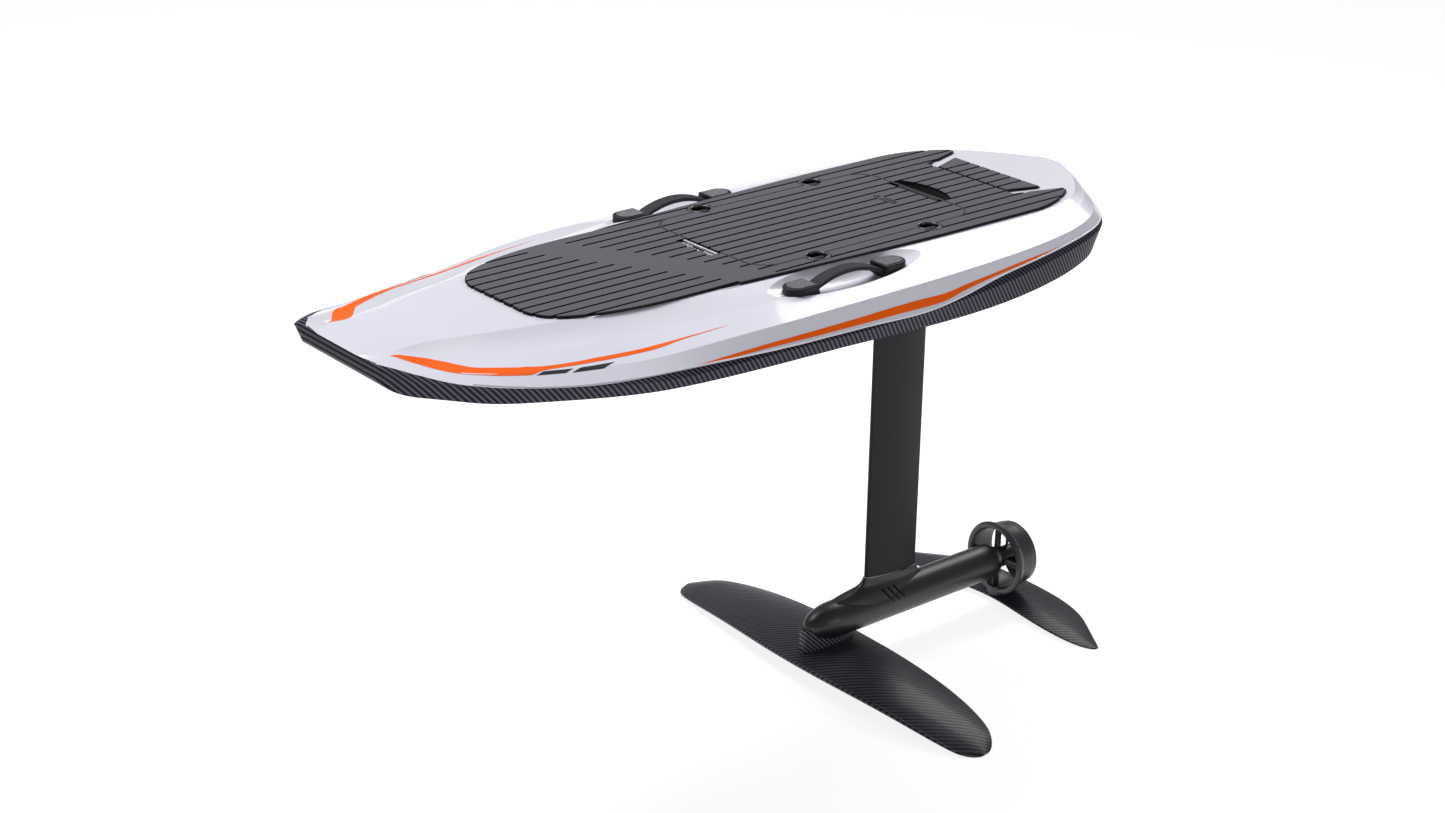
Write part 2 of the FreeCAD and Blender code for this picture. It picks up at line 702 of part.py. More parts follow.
play = size("hinge_play")
leaf_length = third - 2 * play
leaf_low = -0.5 * third + play
leaf = Part.makeCylinder(barrel, leaf_length, V(hinge_x, leaf_low, hinge_z), V(0, 1, 0))
leaf_arm = Part.makeBox(size("hinge_setback"), leaf_length, barrel, V(size("hatch_front"), leaf_low, hinge_z - barrel))
leaf_bore = Part.makeCylinder(
    size("hinge_pin") + size("shaft_fit"), third, V(hinge_x, -0.5 * third, hinge_z), V(0, 1, 0)
)
formed("hinge_leaf", leaf.fuse(leaf_arm).cut(leaf_bore), "deck_height")


# The carry handles: two feet in the recess and a strap that arches between them
def handle_foot(end):
    """One foot of the port handle: round at its outer end, flat where the strap leaves it."""
    half = size("foot_width") / 2
    outer_x = size("handle_middle") + end * (size("handle_span") + size("foot_length") / 2)
    inner_x = size("handle_middle") + end * (size("handle_span") - size("foot_length") / 2)
    turn_x = outer_x - end * half
    low = -size("recess_depth") - size("strap_thickness")
    face = Part.Face(
        wire(
            Part.LineSegment(V(inner_x, -half, low), V(turn_x, -half, low)),
            Part.Arc(V(turn_x, -half, low), V(outer_x, 0, low), V(turn_x, half, low)),
            Part.LineSegment(V(turn_x, half, low), V(inner_x, half, low)),
            Part.LineSegment(V(inner_x, half, low), V(inner_x, -half, low)),
        )
    )
    block = face.extrude(V(0, 0, size("foot_top") - low))
    top_edges = [edge for edge in block.Edges if edge.BoundBox.ZMin > size("foot_top") - 0.01]
    block = block.makeFillet(size("strap_thickness") / 2, top_edges)
    block.translate(V(0, size("handle_offset"), 0))
    return block


def strap():
    """The port strap, a rounded band turned through its arch's angle, whose ends are inside the feet."""
    half = size("handle_span") - size("foot_length") / 2 + size("strap_thickness")
    rise = size("strap_rise")
    radius = (half**2 + rise**2) / (2 * rise)
    middle, top = size("handle_middle"), size("strap_top")
    depth = size("strap_thickness")
    blank = rounded_band(middle, top - depth, top, size("handle_offset"), size("strap_width"), depth / 4)
    centre, across = V(middle, 0, top - radius), V(0, 1, 0)
    reach = math.degrees(math.asin(half / radius))
    blank.rotate(centre, across, -reach)
    return blank.revolve(centre, across, 2 * reach)


port_strap = strap()
port_feet = [handle_foot(end).cut([outer, port_strap]) for end in (1, -1)]
formed("handle_feet", Part.makeCompound(port_feet + [mirrored(foot) for foot in port_feet]), "deck_height")
formed("handle_straps", Part.makeCompound([port_strap, mirrored(port_strap)]), "deck_height")


# The mast and what stands at its ends
def lens(front, chord, thickness, height):
    """A streamlined section with a round nose, level at one height over its own plane."""
    rear = front - chord
    widest = front - 0.38 * chord
    half = thickness / 2
    nose_x = front - 0.045 * chord
    nose_y = 0.26 * thickness
    tail_y = 0.04 * thickness
    return wire(
        Part.Arc(V(nose_x, -nose_y, height), V(front, 0, height), V(nose_x, nose_y, height)),
        Part.Arc(V(nose_x, nose_y, height), V(widest, half, height), V(rear, tail_y, height)),
        Part.LineSegment(V(rear, tail_y, height), V(rear, -tail_y, height)),
        Part.Arc(V(rear, -tail_y, height), V(widest, -half, height), V(nose_x, -nose_y, height)),
    )


mast_front = size("mast_front")
mast_rear = mast_front - size("mast_chord")
mast_top = size("deck_height") - size("bottom_depth") - size("plate_thickness") - size("pod_height")
mast_section = lens(mast_front, size("mast_chord"), size("mast_thickness"), 0)
fairing_block = prism(
    [
        (0, -high, 0),
        (0, -high, size("fairing_top_front")),
        (mast_front, -high, size("fairing_top_front")),
        (mast_rear, -high, size("fairing_top_rear")),
        (2 * mast_rear, -high, size("fairing_top_rear")),
        (2 * mast_rear, -high, 0),
    ],
    (0, 2 * high, 0),
)
formed("mast", Part.Face(mast_section).extrude(V(0, 0, mast_top)).cut(fairing_block), "pod_height")

plate = rounded_plate(
    mast_front + size("plate_lead") - size("plate_length"),
    mast_front + size("plate_lead"),
    size("plate_width") / 2,
    0.3 * size("plate_width"),
    -size("bottom_depth") - size("plate_thickness"),
    -0.8 * size("bottom_depth"),
)
formed("mast_plate", plate.cut(outer), "deck_height")

# The pod: round nose, motor housing and tail cone
radius = size("pod_radius")
nose_back = size("pod_nose_tip") - size("pod_nose_length")
nose_ellipse = Part.Ellipse(V(nose_back, 0, 0), size("pod_nose_length"), radius)
nose_ellipse.rotate(FreeCAD.Placement(V(0, 0, 0), FreeCAD.Rotation(V(1, 0, 0), 90)))
nose_arc = Part.ArcOfEllipse(nose_ellipse, 0, math.pi / 2)
nose_face = Part.Face(
    wire(
        nose_arc,
        Part.LineSegment(V(nose_back, 0, radius), V(size("housing_front"), 0, radius)),
        Part.LineSegment(V(size("housing_front"), 0, radius), V(size("housing_front"), 0, 0)),
        Part.LineSegment(V(size("housing_front"), 0, 0), V(size("pod_nose_tip"), 0, 0)),
    )
)
pod_nose = nose_face.revolve(V(0, 0, 0), V(1, 0, 0), 360)
pod_round = Part.makeCylinder(radius, size("housing_front") - size("housing_rear"), V(size("housing_front"), 0, 0), V(-1, 0, 0))
pod_all = pod_nose.fuse(pod_round)

# height over the axis as a share of the pod's radius, leading edge ahead of the mast's, trailing edge behind it, width
FAIRING = [
    (0.55, 120, 44, 66),
    (0.90, 96, 26, 54),
    (1.12, 68, 14, 43),
    (1.27, 34, 8, 34),
    (1.85, 2, 4, 24),
]
fairing = Part.makeLoft(
    [
        lens(mast_front + ahead, size("mast_chord") + ahead + behind, width, share * radius)
        for share, ahead, behind, width in FAIRING
    ],
    True,
    False,
)
fairing = fairing.common(fairing_block).cut(pod_all)


def vent(index, side):
    """A cutter for one slanted cooling slit, square to the pod's skin."""
    lean = math.radians(42)
    outwards = V(0, math.cos(lean), math.sin(lean))
    down_aft = V(-22, 31 * math.sin(lean), -31 * math.cos(lean)).normalize()
    across = outwards.cross(down_aft)
    length = 1.1 * radius
    centre = V(mast_front - 42 - index * size("vent_pitch"), 0, 0) + outwards * radius
    corner = centre - down_aft * (length / 2) - across * (size("vent_width") / 2) - outwards * size("vent_depth")
    corners = [corner, corner + down_aft * length]
    corners += [point + across * size("vent_width") for point in reversed(corners)]
    slit = prism([(point.x, point.y, point.z) for point in corners], tuple(outwards * high))
    return slit if side > 0 else mirrored(slit)


vents = [vent(index, side) for index in range(3) for side in PORT_AND_STARBOARD]
formed("pod_nose", pod_nose, "pod_height")
formed("mast_fairing", max(fairing.cut(vents).Solids, key=lambda solid: solid.Volume), "pod_height")

def about_axis(label):
    """A turned piece's shape, back on the pod's axis."""
    body = next(piece for piece in PIECES if piece.Label == label)
    return body.Shape.translated(V(0, 0, -size("pod_height")))


housing = revolved(
    "motor_housing_tube",
    [
        ("Sizes.housing_front", "Sizes.pod_radius - Sizes.pod_wall"),
        ("Sizes.housing_front", "Sizes.pod_radius"),
        ("Sizes.housing_rear", "Sizes.pod_radius"),
        ("Sizes.housing_rear", "Sizes.pod_radius - Sizes.pod_wall"),
    ],
)
PIECES.remove(housing)
doc.recompute()
formed("motor_housing", housing.Shape.translated(V(0, 0, -size("pod_height"))).cut(vents), "pod_height")

revolved(
    "motor",
    [
        ("Sizes.motor_front", "0"),
        ("Sizes.motor_front", "Sizes.pod_radius - Sizes.pod_wall - Sizes.motor_fit"),
        ("Sizes.housing_rear", "Sizes.pod_radius - Sizes.pod_wall - Sizes.motor_fit"),
        ("Sizes.housing_rear", "0"),
    ],
)
cone_bend = 0.3
revolved(
    "tail_cone",
    [
        ("Sizes.housing_rear", "0"),
        ("Sizes.housing_rear", "Sizes.pod_radius"),
        (f"Sizes.housing_rear + {cone_bend} * (Sizes.cone_rear - Sizes.housing_rear)", "Sizes.pod_radius - 1.5"),
        (f"Sizes.housing_rear + {2 * cone_bend} * (Sizes.cone_rear - Sizes.housing_rear)", "Sizes.pod_radius - 5.5"),
        (f"Sizes.housing_rear + {3 * cone_bend} * (Sizes.cone_rear - Sizes.housing_rear)", "Sizes.cone_radius + 3.5"),
        ("Sizes.cone_rear", "Sizes.cone_radius"),
        ("Sizes.cone_rear", "0"),
    ],
)
revolved(
    "duct_front_ring",
    [
        ("Sizes.duct_front", "Sizes.duct_bore + 4"),
        ("Sizes.duct_front", "Sizes.duct_radius - 5"),
        ("Sizes.duct_front - 2", "Sizes.duct_radius - 1.5"),
        ("Sizes.duct_front - 5", "Sizes.duct_radius"),
        ("Sizes.duct_front - 9", "Sizes.duct_radius - 1"),
        ("Sizes.duct_split", "Sizes.duct_radius - 5"),
        ("Sizes.duct_split", "Sizes.duct_bore"),
        ("Sizes.duct_front - 6", "Sizes.duct_bore"),
    ],
)
revolved(
    "duct_rear_ring",
    [
        ("Sizes.duct_split", "Sizes.duct_radius - 6.5"),
        ("Sizes.duct_split - 6", "Sizes.duct_radius - 8.5"),
        ("Sizes.duct_split - 16", "Sizes.duct_radius - 9.5"),
        ("Sizes.duct_rear + 16", "Sizes.duct_radius - 11"),
        ("Sizes.duct_rear", "Sizes.duct_radius - 13.5"),
        ("Sizes.duct_rear", "Sizes.duct_bore + 0.5"),
        ("Sizes.duct_rear + 8", "Sizes.duct_bore"),
        ("Sizes.duct_split", "Sizes.duct_bore"),
    ],
)

# The struts between tail cone and duct, on a hub with the shaft's bearing
duct_bore = size("duct_bore")
vane_front = size("duct_front") - 2
hub_radius = size("cone_radius")
vanes = []
for index in range(int(size("vane_count"))):
    vane = lens(vane_front, size("vane_chord"), size("vane_thickness"), hub_radius / 2)
    strut = Part.Face(vane).extrude(V(0, 0, duct_bore))
    strut.rotate(V(0, 0, 0), V(1, 0, 0), 360 * index / size("vane_count"))
    vanes.append(strut)
duct_space = Part.makeCylinder(duct_bore, high, V(vane_front + 1, 0, 0), V(-1, 0, 0))
stator_hub = Part.makeCylinder(hub_radius, size("stator_length"), V(size("cone_rear"), 0, 0), V(-1, 0, 0))
stator = vanes[0].fuse(vanes[1:]).common(duct_space).fuse(stator_hub)
doc.recompute()
stator = stator.cut(about_axis("tail_cone"))
shaft_front = size("cone_rear")
bearing = Part.makeCylinder(
    size("shaft_radius") + size("shaft_fit"), size("stator_length"), V(shaft_front, 0, 0), V(-1, 0, 0)
)
formed("stator", stator.cut(bearing), "pod_height")

# The propeller
hub_front = size("cone_rear") - size("stator_length") - size("running_gap")
hub_rear = hub_front - size("prop_hub_length")
prop_tip = duct_bore - size("tip_clearance")


def blade_section(radius_at, chord, pitch_degrees, thickness):
    """One blade section, a thin lens square to the blade's own line."""
    angle = math.radians(pitch_degrees)
    along = V(math.sin(angle), math.cos(angle), 0)
    across = V(math.cos(angle), -math.sin(angle), 0)
    centre = V((hub_front + hub_rear) / 2, 0, radius_at)
    lead = centre + along * (chord / 2)
    trail = centre - along * (chord / 2)
    return wire(
        Part.Arc(trail, centre + across * (thickness / 2), lead),
        Part.Arc(lead, centre - across * (thickness / 2), trail),
    )


# share of the tip's radius, chord, pitch, thickness
BLADE = [(0.19, 26, 52, 6), (0.43, 36, 42, 4.5), (0.70, 42, 32, 3.4), (0.92, 36, 27, 2.4), (1.0, 22, 25, 1.6)]
one_blade = Part.makeLoft(
    [blade_section(share * prop_tip, chord, pitch, thickness) for share, chord, pitch, thickness in BLADE], True, False
)
prop_hub = Part.makeCylinder(size("prop_hub_radius"), size("prop_hub_length"), V(hub_front, 0, 0), V(-1, 0, 0))
blades = []
for index in range(int(size("blade_count"))):
    blade = one_blade.copy()
    blade.rotate(V(0, 0, 0), V(1, 0, 0), 360 * index / size("blade_count"))
    blades.append(blade)
shaft = Part.makeCylinder(
    size("shaft_radius"), shaft_front - 1 - hub_rear, V(shaft_front - 1, 0, 0), V(-1, 0, 0)
)
formed("propeller_shaft", shaft, "pod_height")
formed("propeller", prop_hub.fuse(blades).cut(shaft), "pod_height")
spinner_start = (
    "Sizes.cone_rear - Sizes.stator_length - Sizes.running_gap - Sizes.prop_hub_length"
)
revolved(
    "spinner",
    [
        (spinner_start, "0"),
        (spinner_start, "Sizes.prop_hub_radius - 1"),
        (f"{spinner_start} - 0.5 * Sizes.spinner_length", "Sizes.prop_hub_radius - 5"),
        (f"{spinner_start} - 0.9 * Sizes.spinner_length", "0.4 * Sizes.prop_hub_radius"),
        (f"{spinner_start} - Sizes.spinner_length", "0"),
    ],
)

# The wings
FLAT_SHARE = 0.3
EDGE = 0.35


def foil(front, rear, y, plane, lift, thickness):
    """One wing section, its underside flatter than its top and its trailing edge lifted."""
    chord = front - rear
    nose = front - 0.04 * chord
    top = plane + thickness * (1 - FLAT_SHARE)
    under = plane - thickness * FLAT_SHARE
    widest = front - 0.34 * chord
    start = V(nose, y, plane + 0.42 * thickness * (1 - FLAT_SHARE))
    below = V(nose, y, plane - 0.55 * thickness * FLAT_SHARE)
    return wire(
        Part.Arc(below, V(front, y, plane), start),
        Part.Arc(start, V(widest, y, top + lift / 3), V(rear, y, plane + lift + EDGE)),
        Part.LineSegment(V(rear, y, plane + lift + EDGE), V(rear, y, plane + lift - EDGE)),
        Part.Arc(V(rear, y, plane + lift - EDGE), V(widest, y, under + lift / 3), below),
    )


def wing(stations, front, span, drop, thickness):
    """A wing that rests on the floor with its tips, from starboard to port."""
    lowest = min((1 - down) * drop - FLAT_SHARE * thick * thickness for *_, down, lift, thick in stations)
    port = []
    starboard = []
    for out, lead, trail, down, lift, thick in stations:
        plane = (1 - down) * drop - lowest - size("pod_height")
        for side, sections in ((1, port), (-1, starboard)):
            sections.append(foil(front - lead, front - trail, side * out * span / 2, plane, lift, thick * thickness))
    return Part.makeLoft(starboard[:0:-1] + port, True, False)


# share of half span, leading and trailing edge behind the middle's leading edge, share of drop,
# lift of the trailing edge, share of thickness
FRONT_WING = [
    (0.0, 0, 206, 0.0, 0, 1.0),
    (0.30, 8, 206, 0.08, 0, 0.95),
    (0.60, 28, 200, 0.36, 1, 0.80),
    (0.80, 45, 184, 0.66, 4, 0.60),
    (0.90, 57, 167, 0.84, 6, 0.46),
    (0.96, 72, 147, 0.96, 5, 0.34),
    (0.99, 88, 130, 1.0, 3, 0.24),
    (1.0, 98, 119, 1.0, 2, 0.18),
]
REAR_WING = [
    (0.0, 0, 122, 0.0, 0, 1.0),
    (0.32, -7, 119, 0.10, 0, 0.94),
    (0.63, -10, 98, 0.42, 0, 0.80),
    (0.80, -4, 70, 0.70, 0, 0.62),
    (0.92, 7, 49, 0.92, 0, 0.44),
    (0.98, 18, 38, 1.0, 0, 0.30),
    (1.0, 24, 33, 1.0, 0, 0.22),
]
front_wing = wing(
    FRONT_WING,
    size("front_wing_front"),
    size("front_wing_span"),
    size("front_wing_drop"),
    size("front_wing_thickness"),
)
formed("front_wing", front_wing, "pod_height")
rear_wing = wing(
    REAR_WING,
    size("rear_wing_front"),
    size("rear_wing_span"),
    size("rear_wing_drop"),
    size("rear_wing_thickness"),
)
formed("rear_wing", rear_wing, "pod_height")

floor = -size("pod_height")
saddle_lens = lens(size("saddle_front"), size("saddle_front") - size("saddle_rear"), size("saddle_width"), floor)
saddle = Part.Face(saddle_lens).extrude(V(0, 0, size("pod_height"))).cut([pod_all, front_wing])
formed("wing_saddle", max(saddle.Solids, key=lambda solid: solid.CenterOfMass.z), "pod_height")

pylon_front = size("rear_wing_front") - 3
pylon_lens = lens(
    pylon_front, pylon_front - size("duct_rear") - 6, size("pylon_width"), floor + size("rear_wing_drop")
)
inside_duct = Part.makeCylinder(duct_bore, size("pod_height"), V(size("duct_front") + 20, 0, 0), V(-1, 0, 0))
pylon = Part.Face(pylon_lens).extrude(V(0, 0, 0.4 * size("pod_height")))
pylon = pylon.cut([about_axis("duct_front_ring"), about_axis("duct_rear_ring"), inside_duct, rear_wing])
formed("rear_pylon", max(pylon.Solids, key=lambda solid: solid.Volume), "pod_height")

doc.recompute()
failed = []
for item in doc.Objects:
    if "Invalid" in item.State or "Error" in item.State:
        failed.append(f"{item.Label}: {item.State}")
for piece in PIECES:
    if piece.Shape.isNull() or not piece.Shape.isValid():
        failed.append(f"{piece.Label}: shape")
if failed:
    raise RuntimeError("; ".join(failed))

os.makedirs("parts", exist_ok=True)
for piece in PIECES:
    piece.Shape.exportStep(os.path.join("parts", piece.Label + ".step"))
    box = piece.Shape.BoundBox
    print(
        f"{piece.Label}: {len(piece.Shape.Solids)} solids, {piece.Shape.Volume / 1e6:.3f} litres, "
        f"x {box.XMin:.1f} {box.XMax:.1f}, y {box.YMin:.1f} {box.YMax:.1f}, z {box.ZMin:.1f} {box.ZMax:.1f}"
    )
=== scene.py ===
"""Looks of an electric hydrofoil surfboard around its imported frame.

Metres, +X to the nose, +Y to port, +Z up.
"""

from __future__ import annotations

import json
import logging
import math
from collections.abc import Sequence
from dataclasses import dataclass, field
from enum import Enum

import bmesh
import bpy
from mathutils import Matrix, Vector
from mathutils.bvhtree import BVHTree


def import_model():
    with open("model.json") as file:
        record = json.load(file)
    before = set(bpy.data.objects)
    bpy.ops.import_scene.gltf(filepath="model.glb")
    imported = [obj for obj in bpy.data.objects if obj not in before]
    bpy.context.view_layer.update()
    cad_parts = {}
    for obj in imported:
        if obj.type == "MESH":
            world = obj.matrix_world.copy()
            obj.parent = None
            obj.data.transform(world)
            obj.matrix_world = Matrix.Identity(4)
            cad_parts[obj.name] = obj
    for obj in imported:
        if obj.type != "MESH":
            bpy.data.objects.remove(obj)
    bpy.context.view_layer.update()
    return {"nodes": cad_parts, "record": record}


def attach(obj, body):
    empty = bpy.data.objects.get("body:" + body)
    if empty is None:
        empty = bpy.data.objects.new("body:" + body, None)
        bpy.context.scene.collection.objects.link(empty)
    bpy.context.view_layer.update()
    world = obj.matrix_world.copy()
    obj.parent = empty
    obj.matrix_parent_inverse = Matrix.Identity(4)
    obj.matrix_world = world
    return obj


log = logging.getLogger("hydrofoil")

BOARD = "board"
HATCH = "hatch"
DECK_HEIGHT = 1.016
POD_HEIGHT = 0.107
PORT_AND_STARBOARD = (1, -1)
FRONT_AND_REAR = (1, -1)
MILLIMETRE = 0.001
HANDLE_MIDDLE = -0.053
HANDLE_LINE = 0.257
THREAD_SHADE = 0.06
THREAD_RELIEF = 0.0002

Rows = Sequence[tuple[float, float, float]]


class Facing(Enum):
    """The direction from which a stripe is laid on the shell."""

    ABOVE = "above"
    BESIDE = "beside"


class Weave(Enum):
    """How the threads of a carbon skin run: shares of x, y and z along the bands."""

    HULL = (1.0, 0.0, -0.95)
    WING = (0.64, 0.77, 0.0)


def side_word(side: int) -> str:
    """The word for one side of the board: 1 is port and -1 is starboard."""
    return "port" if side > 0 else "starboard"


def end_word(outwards: int) -> str:
    """The word for one end of the board: 1 is the front and -1 is the rear."""
    return "front" if outwards > 0 else "rear"


@dataclass
class Graph:
    """A node tree that is wired in short lines."""

    tree: bpy.types.NodeTree

    def add(self, kind: str, inputs: dict | None = None, **settings: object) -> bpy.types.Node:
        """One node.

        Args:
            kind: the node's type.
            inputs: values or sockets for its inputs.
            **settings: its own properties.

        Returns:
            The node.
        """
        node = self.tree.nodes.new(kind)
        for name, value in settings.items():
            setattr(node, name, value)
        for name, value in (inputs or {}).items():
            if isinstance(value, bpy.types.NodeSocket):
                self.tree.links.new(value, node.inputs[name])
            else:
                node.inputs[name].default_value = value
        return node

    def maths(self, operation: str, *values: object) -> bpy.types.NodeSocket:
        """The result of one sum of numbers or sockets."""
        node = self.add("ShaderNodeMath", dict(enumerate(values)), operation=operation)
        return node.outputs[0]

    def blend(self, share: object, low: object, high: object) -> bpy.types.NodeSocket:
        """A colour between two: a share of 0 gives the first and 1 the second."""
        node = self.add("ShaderNodeMix", {0: share, 6: low, 7: high}, data_type="RGBA")
        return node.outputs[2]

    def span(self, value: object, low: float, high: float) -> bpy.types.NodeSocket:
        """Where a value lies between two marks, from 0 to 1, with soft ends."""
        marks = {0: value, 1: low, 2: high}
        return self.add("ShaderNodeMapRange", marks, interpolation_type="SMOOTHSTEP").outputs[0]


def shared_group(
    name: str, inputs: dict[str, str], outputs: dict[str, str]
) -> tuple[bpy.types.NodeTree, Graph, dict[str, bpy.types.Node]]:
    """An empty node group with its sockets.

    Args:
        name: the group's name.
        inputs: socket types by name.
        outputs: socket types by name.

    Returns:
        The group, its graph and its input and output nodes.
    """
    group = bpy.data.node_groups.new(name, "ShaderNodeTree")
    for label, kind in inputs.items():
        group.interface.new_socket(name=label, in_out="INPUT", socket_type=kind)
    for label, kind in outputs.items():
        group.interface.new_socket(name=label, in_out="OUTPUT", socket_type=kind)
    graph = Graph(group)
    ends = {"in": graph.add("NodeGroupInput"), "out": graph.add("NodeGroupOutput")}
    return group, graph, ends


def grain_group() -> bpy.types.NodeTree:
    """Fine grain that any moulded or woven skin shares: a tone and a bump.

    Returns:
        The group.
    """
    known = bpy.data.node_groups.get("grain")
    if known:
        return known
    group, graph, ends = shared_group(
        "grain",
        {"Scale": "NodeSocketFloat", "Depth": "NodeSocketFloat"},
        {"Tone": "NodeSocketFloat", "Normal": "NodeSocketVector"},
    )
    place = graph.add("ShaderNodeTexCoord").outputs["Object"]
    fine = graph.add(
        "ShaderNodeTexNoise",
        {"Vector": place, "Scale": ends["in"].outputs["Scale"], "Detail": 4.0, "Roughness": 0.65},
    )
    bump = graph.add(
        "ShaderNodeBump",
        {"Height": fine.outputs["Fac"], "Distance": ends["in"].outputs["Depth"], "Strength": 0.6},
    )
    tone = graph.span(fine.outputs["Fac"], 0.3, 0.7)
    graph.tree.links.new(tone, ends["out"].inputs["Tone"])
    graph.tree.links.new(bump.outputs["Normal"], ends["out"].inputs["Normal"])
    return group


def weave_group() -> bpy.types.NodeTree:
    """Twill: slanted bands with fine threads across them.

    Returns:
        The group.
    """
    known = bpy.data.node_groups.get("weave")
    if known:
        return known
    group, graph, ends = shared_group(
        "weave",
        {"Direction": "NodeSocketVector", "Pitch": "NodeSocketFloat"},
        {"Band": "NodeSocketFloat", "Normal": "NodeSocketVector"},
    )
    place = graph.add("ShaderNodeTexCoord").outputs["Object"]
    direction, pitch = ends["in"].outputs["Direction"], ends["in"].outputs["Pitch"]
    dot = graph.add("ShaderNodeVectorMath", {0: place, 1: direction}, operation="DOT_PRODUCT")
    turns = graph.maths("DIVIDE", graph.maths("MULTIPLY", dot.outputs["Value"], math.tau), pitch)
    apart = graph.add("ShaderNodeSeparateXYZ", {0: place})
    across = graph.maths("ADD", apart.outputs["Y"], apart.outputs["Z"])
    fine_turns = graph.maths("DIVIDE", graph.maths("MULTIPLY", across, 2 * math.tau), pitch)
    band = graph.maths("MULTIPLY_ADD", graph.maths("SINE", turns), 0.5, 0.5)
    thread = graph.maths("MULTIPLY_ADD", graph.maths("SINE", fine_turns), THREAD_SHADE, 1 - THREAD_SHADE)
    shade = graph.maths("MULTIPLY", graph.span(band, 0.25, 0.75), thread)
    bump = graph.add("ShaderNodeBump", {"Height": shade, "Distance": THREAD_RELIEF, "Strength": 0.5})
    graph.tree.links.new(shade, ends["out"].inputs["Band"])
    graph.tree.links.new(bump.outputs["Normal"], ends["out"].inputs["Normal"])
    return group


def new_material(name: str) -> tuple[bpy.types.Material, Graph, bpy.types.Node]:
    """A material with its graph and its surface shader.

    Args:
        name: the material's name.

    Returns:
        The material, its graph and its shader.
    """
    material = bpy.data.materials.new(name)
    material.use_nodes = True
    graph = Graph(material.node_tree)
    return material, graph, material.node_tree.nodes["Principled BSDF"]


def opaque(colour: Sequence[float]) -> tuple[float, float, float, float]:
    """A colour with an alpha of 1."""
    return (colour[0], colour[1], colour[2], 1.0)


@dataclass(frozen=True)
class GrainFinish:
    """A moulded, painted or woven skin with fine grain."""

    name: str
    dark: tuple[float, float, float]
    light: tuple[float, float, float]
    roughness: float = 0.5
    scale: float = 900.0
    depth: float = 0.0002
    metallic: float = 0.0
    coat: float = 0.0
    specular: float = 0.5
    coat_roughness: float = 0.08

    def build(self) -> bpy.types.Material:
        """Make the material.

        Returns:
            The material.
        """
        material, graph, shader = new_material(self.name)
        grain = graph.add("ShaderNodeGroup", node_tree=grain_group())
        grain.inputs["Scale"].default_value = self.scale
        grain.inputs["Depth"].default_value = self.depth
        colour = graph.blend(grain.outputs["Tone"], opaque(self.dark), opaque(self.light))
        graph.tree.links.new(colour, shader.inputs["Base Color"])
        graph.tree.links.new(grain.outputs["Normal"], shader.inputs["Normal"])
        shader.inputs["Roughness"].default_value = self.roughness
        shader.inputs["Metallic"].default_value = self.metallic
        shader.inputs["Coat Weight"].default_value = self.coat
        shader.inputs["Coat Roughness"].default_value = self.coat_roughness
        shader.inputs["Specular IOR Level"].default_value = self.specular
        return material


@dataclass(frozen=True)
class FoamFinish:
    """Foam deck pad: speckled top, near-black grooves and edges."""

    name: str
    top: tuple[float, float, float]
    groove: tuple[float, float, float]
    top_height: float = DECK_HEIGHT
    cut_depth: float = 0.0012
    speckle: float = 1.22
    scale: float = 1400.0
    depth: float = 0.0003
    roughness: float = 0.85
    specular: float = 0.3

    def build(self) -> bpy.types.Material:
        """Make the material.

        Returns:
            The material.
        """
        material, graph, shader = new_material(self.name)
        grain = graph.add("ShaderNodeGroup", node_tree=grain_group())
        grain.inputs["Scale"].default_value = self.scale
        grain.inputs["Depth"].default_value = self.depth
        bright = tuple(self.speckle * channel for channel in self.top)
        speckled = graph.blend(grain.outputs["Tone"], opaque(self.top), opaque(bright))
        place = graph.add("ShaderNodeTexCoord").outputs["Object"]
        height = graph.add("ShaderNodeSeparateXYZ", {0: place}).outputs["Z"]
        share = graph.span(height, self.top_height - self.cut_depth, self.top_height - 0.2 * self.cut_depth)
        graph.tree.links.new(graph.blend(share, opaque(self.groove), speckled), shader.inputs["Base Color"])
        graph.tree.links.new(grain.outputs["Normal"], shader.inputs["Normal"])
        shader.inputs["Roughness"].default_value = self.roughness
        shader.inputs["Specular IOR Level"].default_value = self.specular
        return material


@dataclass(frozen=True)
class WeaveFinish:
    """Twill carbon under clear lacquer."""

    name: str
    dark: tuple[float, float, float]
    light: tuple[float, float, float]
    weave: Weave
    pitch: float
    roughness: float = 0.45
    coat: float = 0.12
    specular: float = 0.25
    band_gloss: float = 0.12
    coat_roughness: float = 0.14

    def build(self) -> bpy.types.Material:
        """Make the material.

        Returns:
            The material.
        """
        material, graph, shader = new_material(self.name)
        weave = graph.add("ShaderNodeGroup", node_tree=weave_group())
        weave.inputs["Direction"].default_value = self.weave.value
        weave.inputs["Pitch"].default_value = self.pitch
        colour = graph.blend(weave.outputs["Band"], opaque(self.dark), opaque(self.light))
        graph.tree.links.new(colour, shader.inputs["Base Color"])
        graph.tree.links.new(weave.outputs["Normal"], shader.inputs["Normal"])
        rough = graph.maths("MULTIPLY_ADD", weave.outputs["Band"], -self.band_gloss, self.roughness)
        graph.tree.links.new(rough, shader.inputs["Roughness"])
        shader.inputs["Specular IOR Level"].default_value = self.specular
        shader.inputs["Coat Weight"].default_value = self.coat
        shader.inputs["Coat Roughness"].default_value = self.coat_roughness
        return material


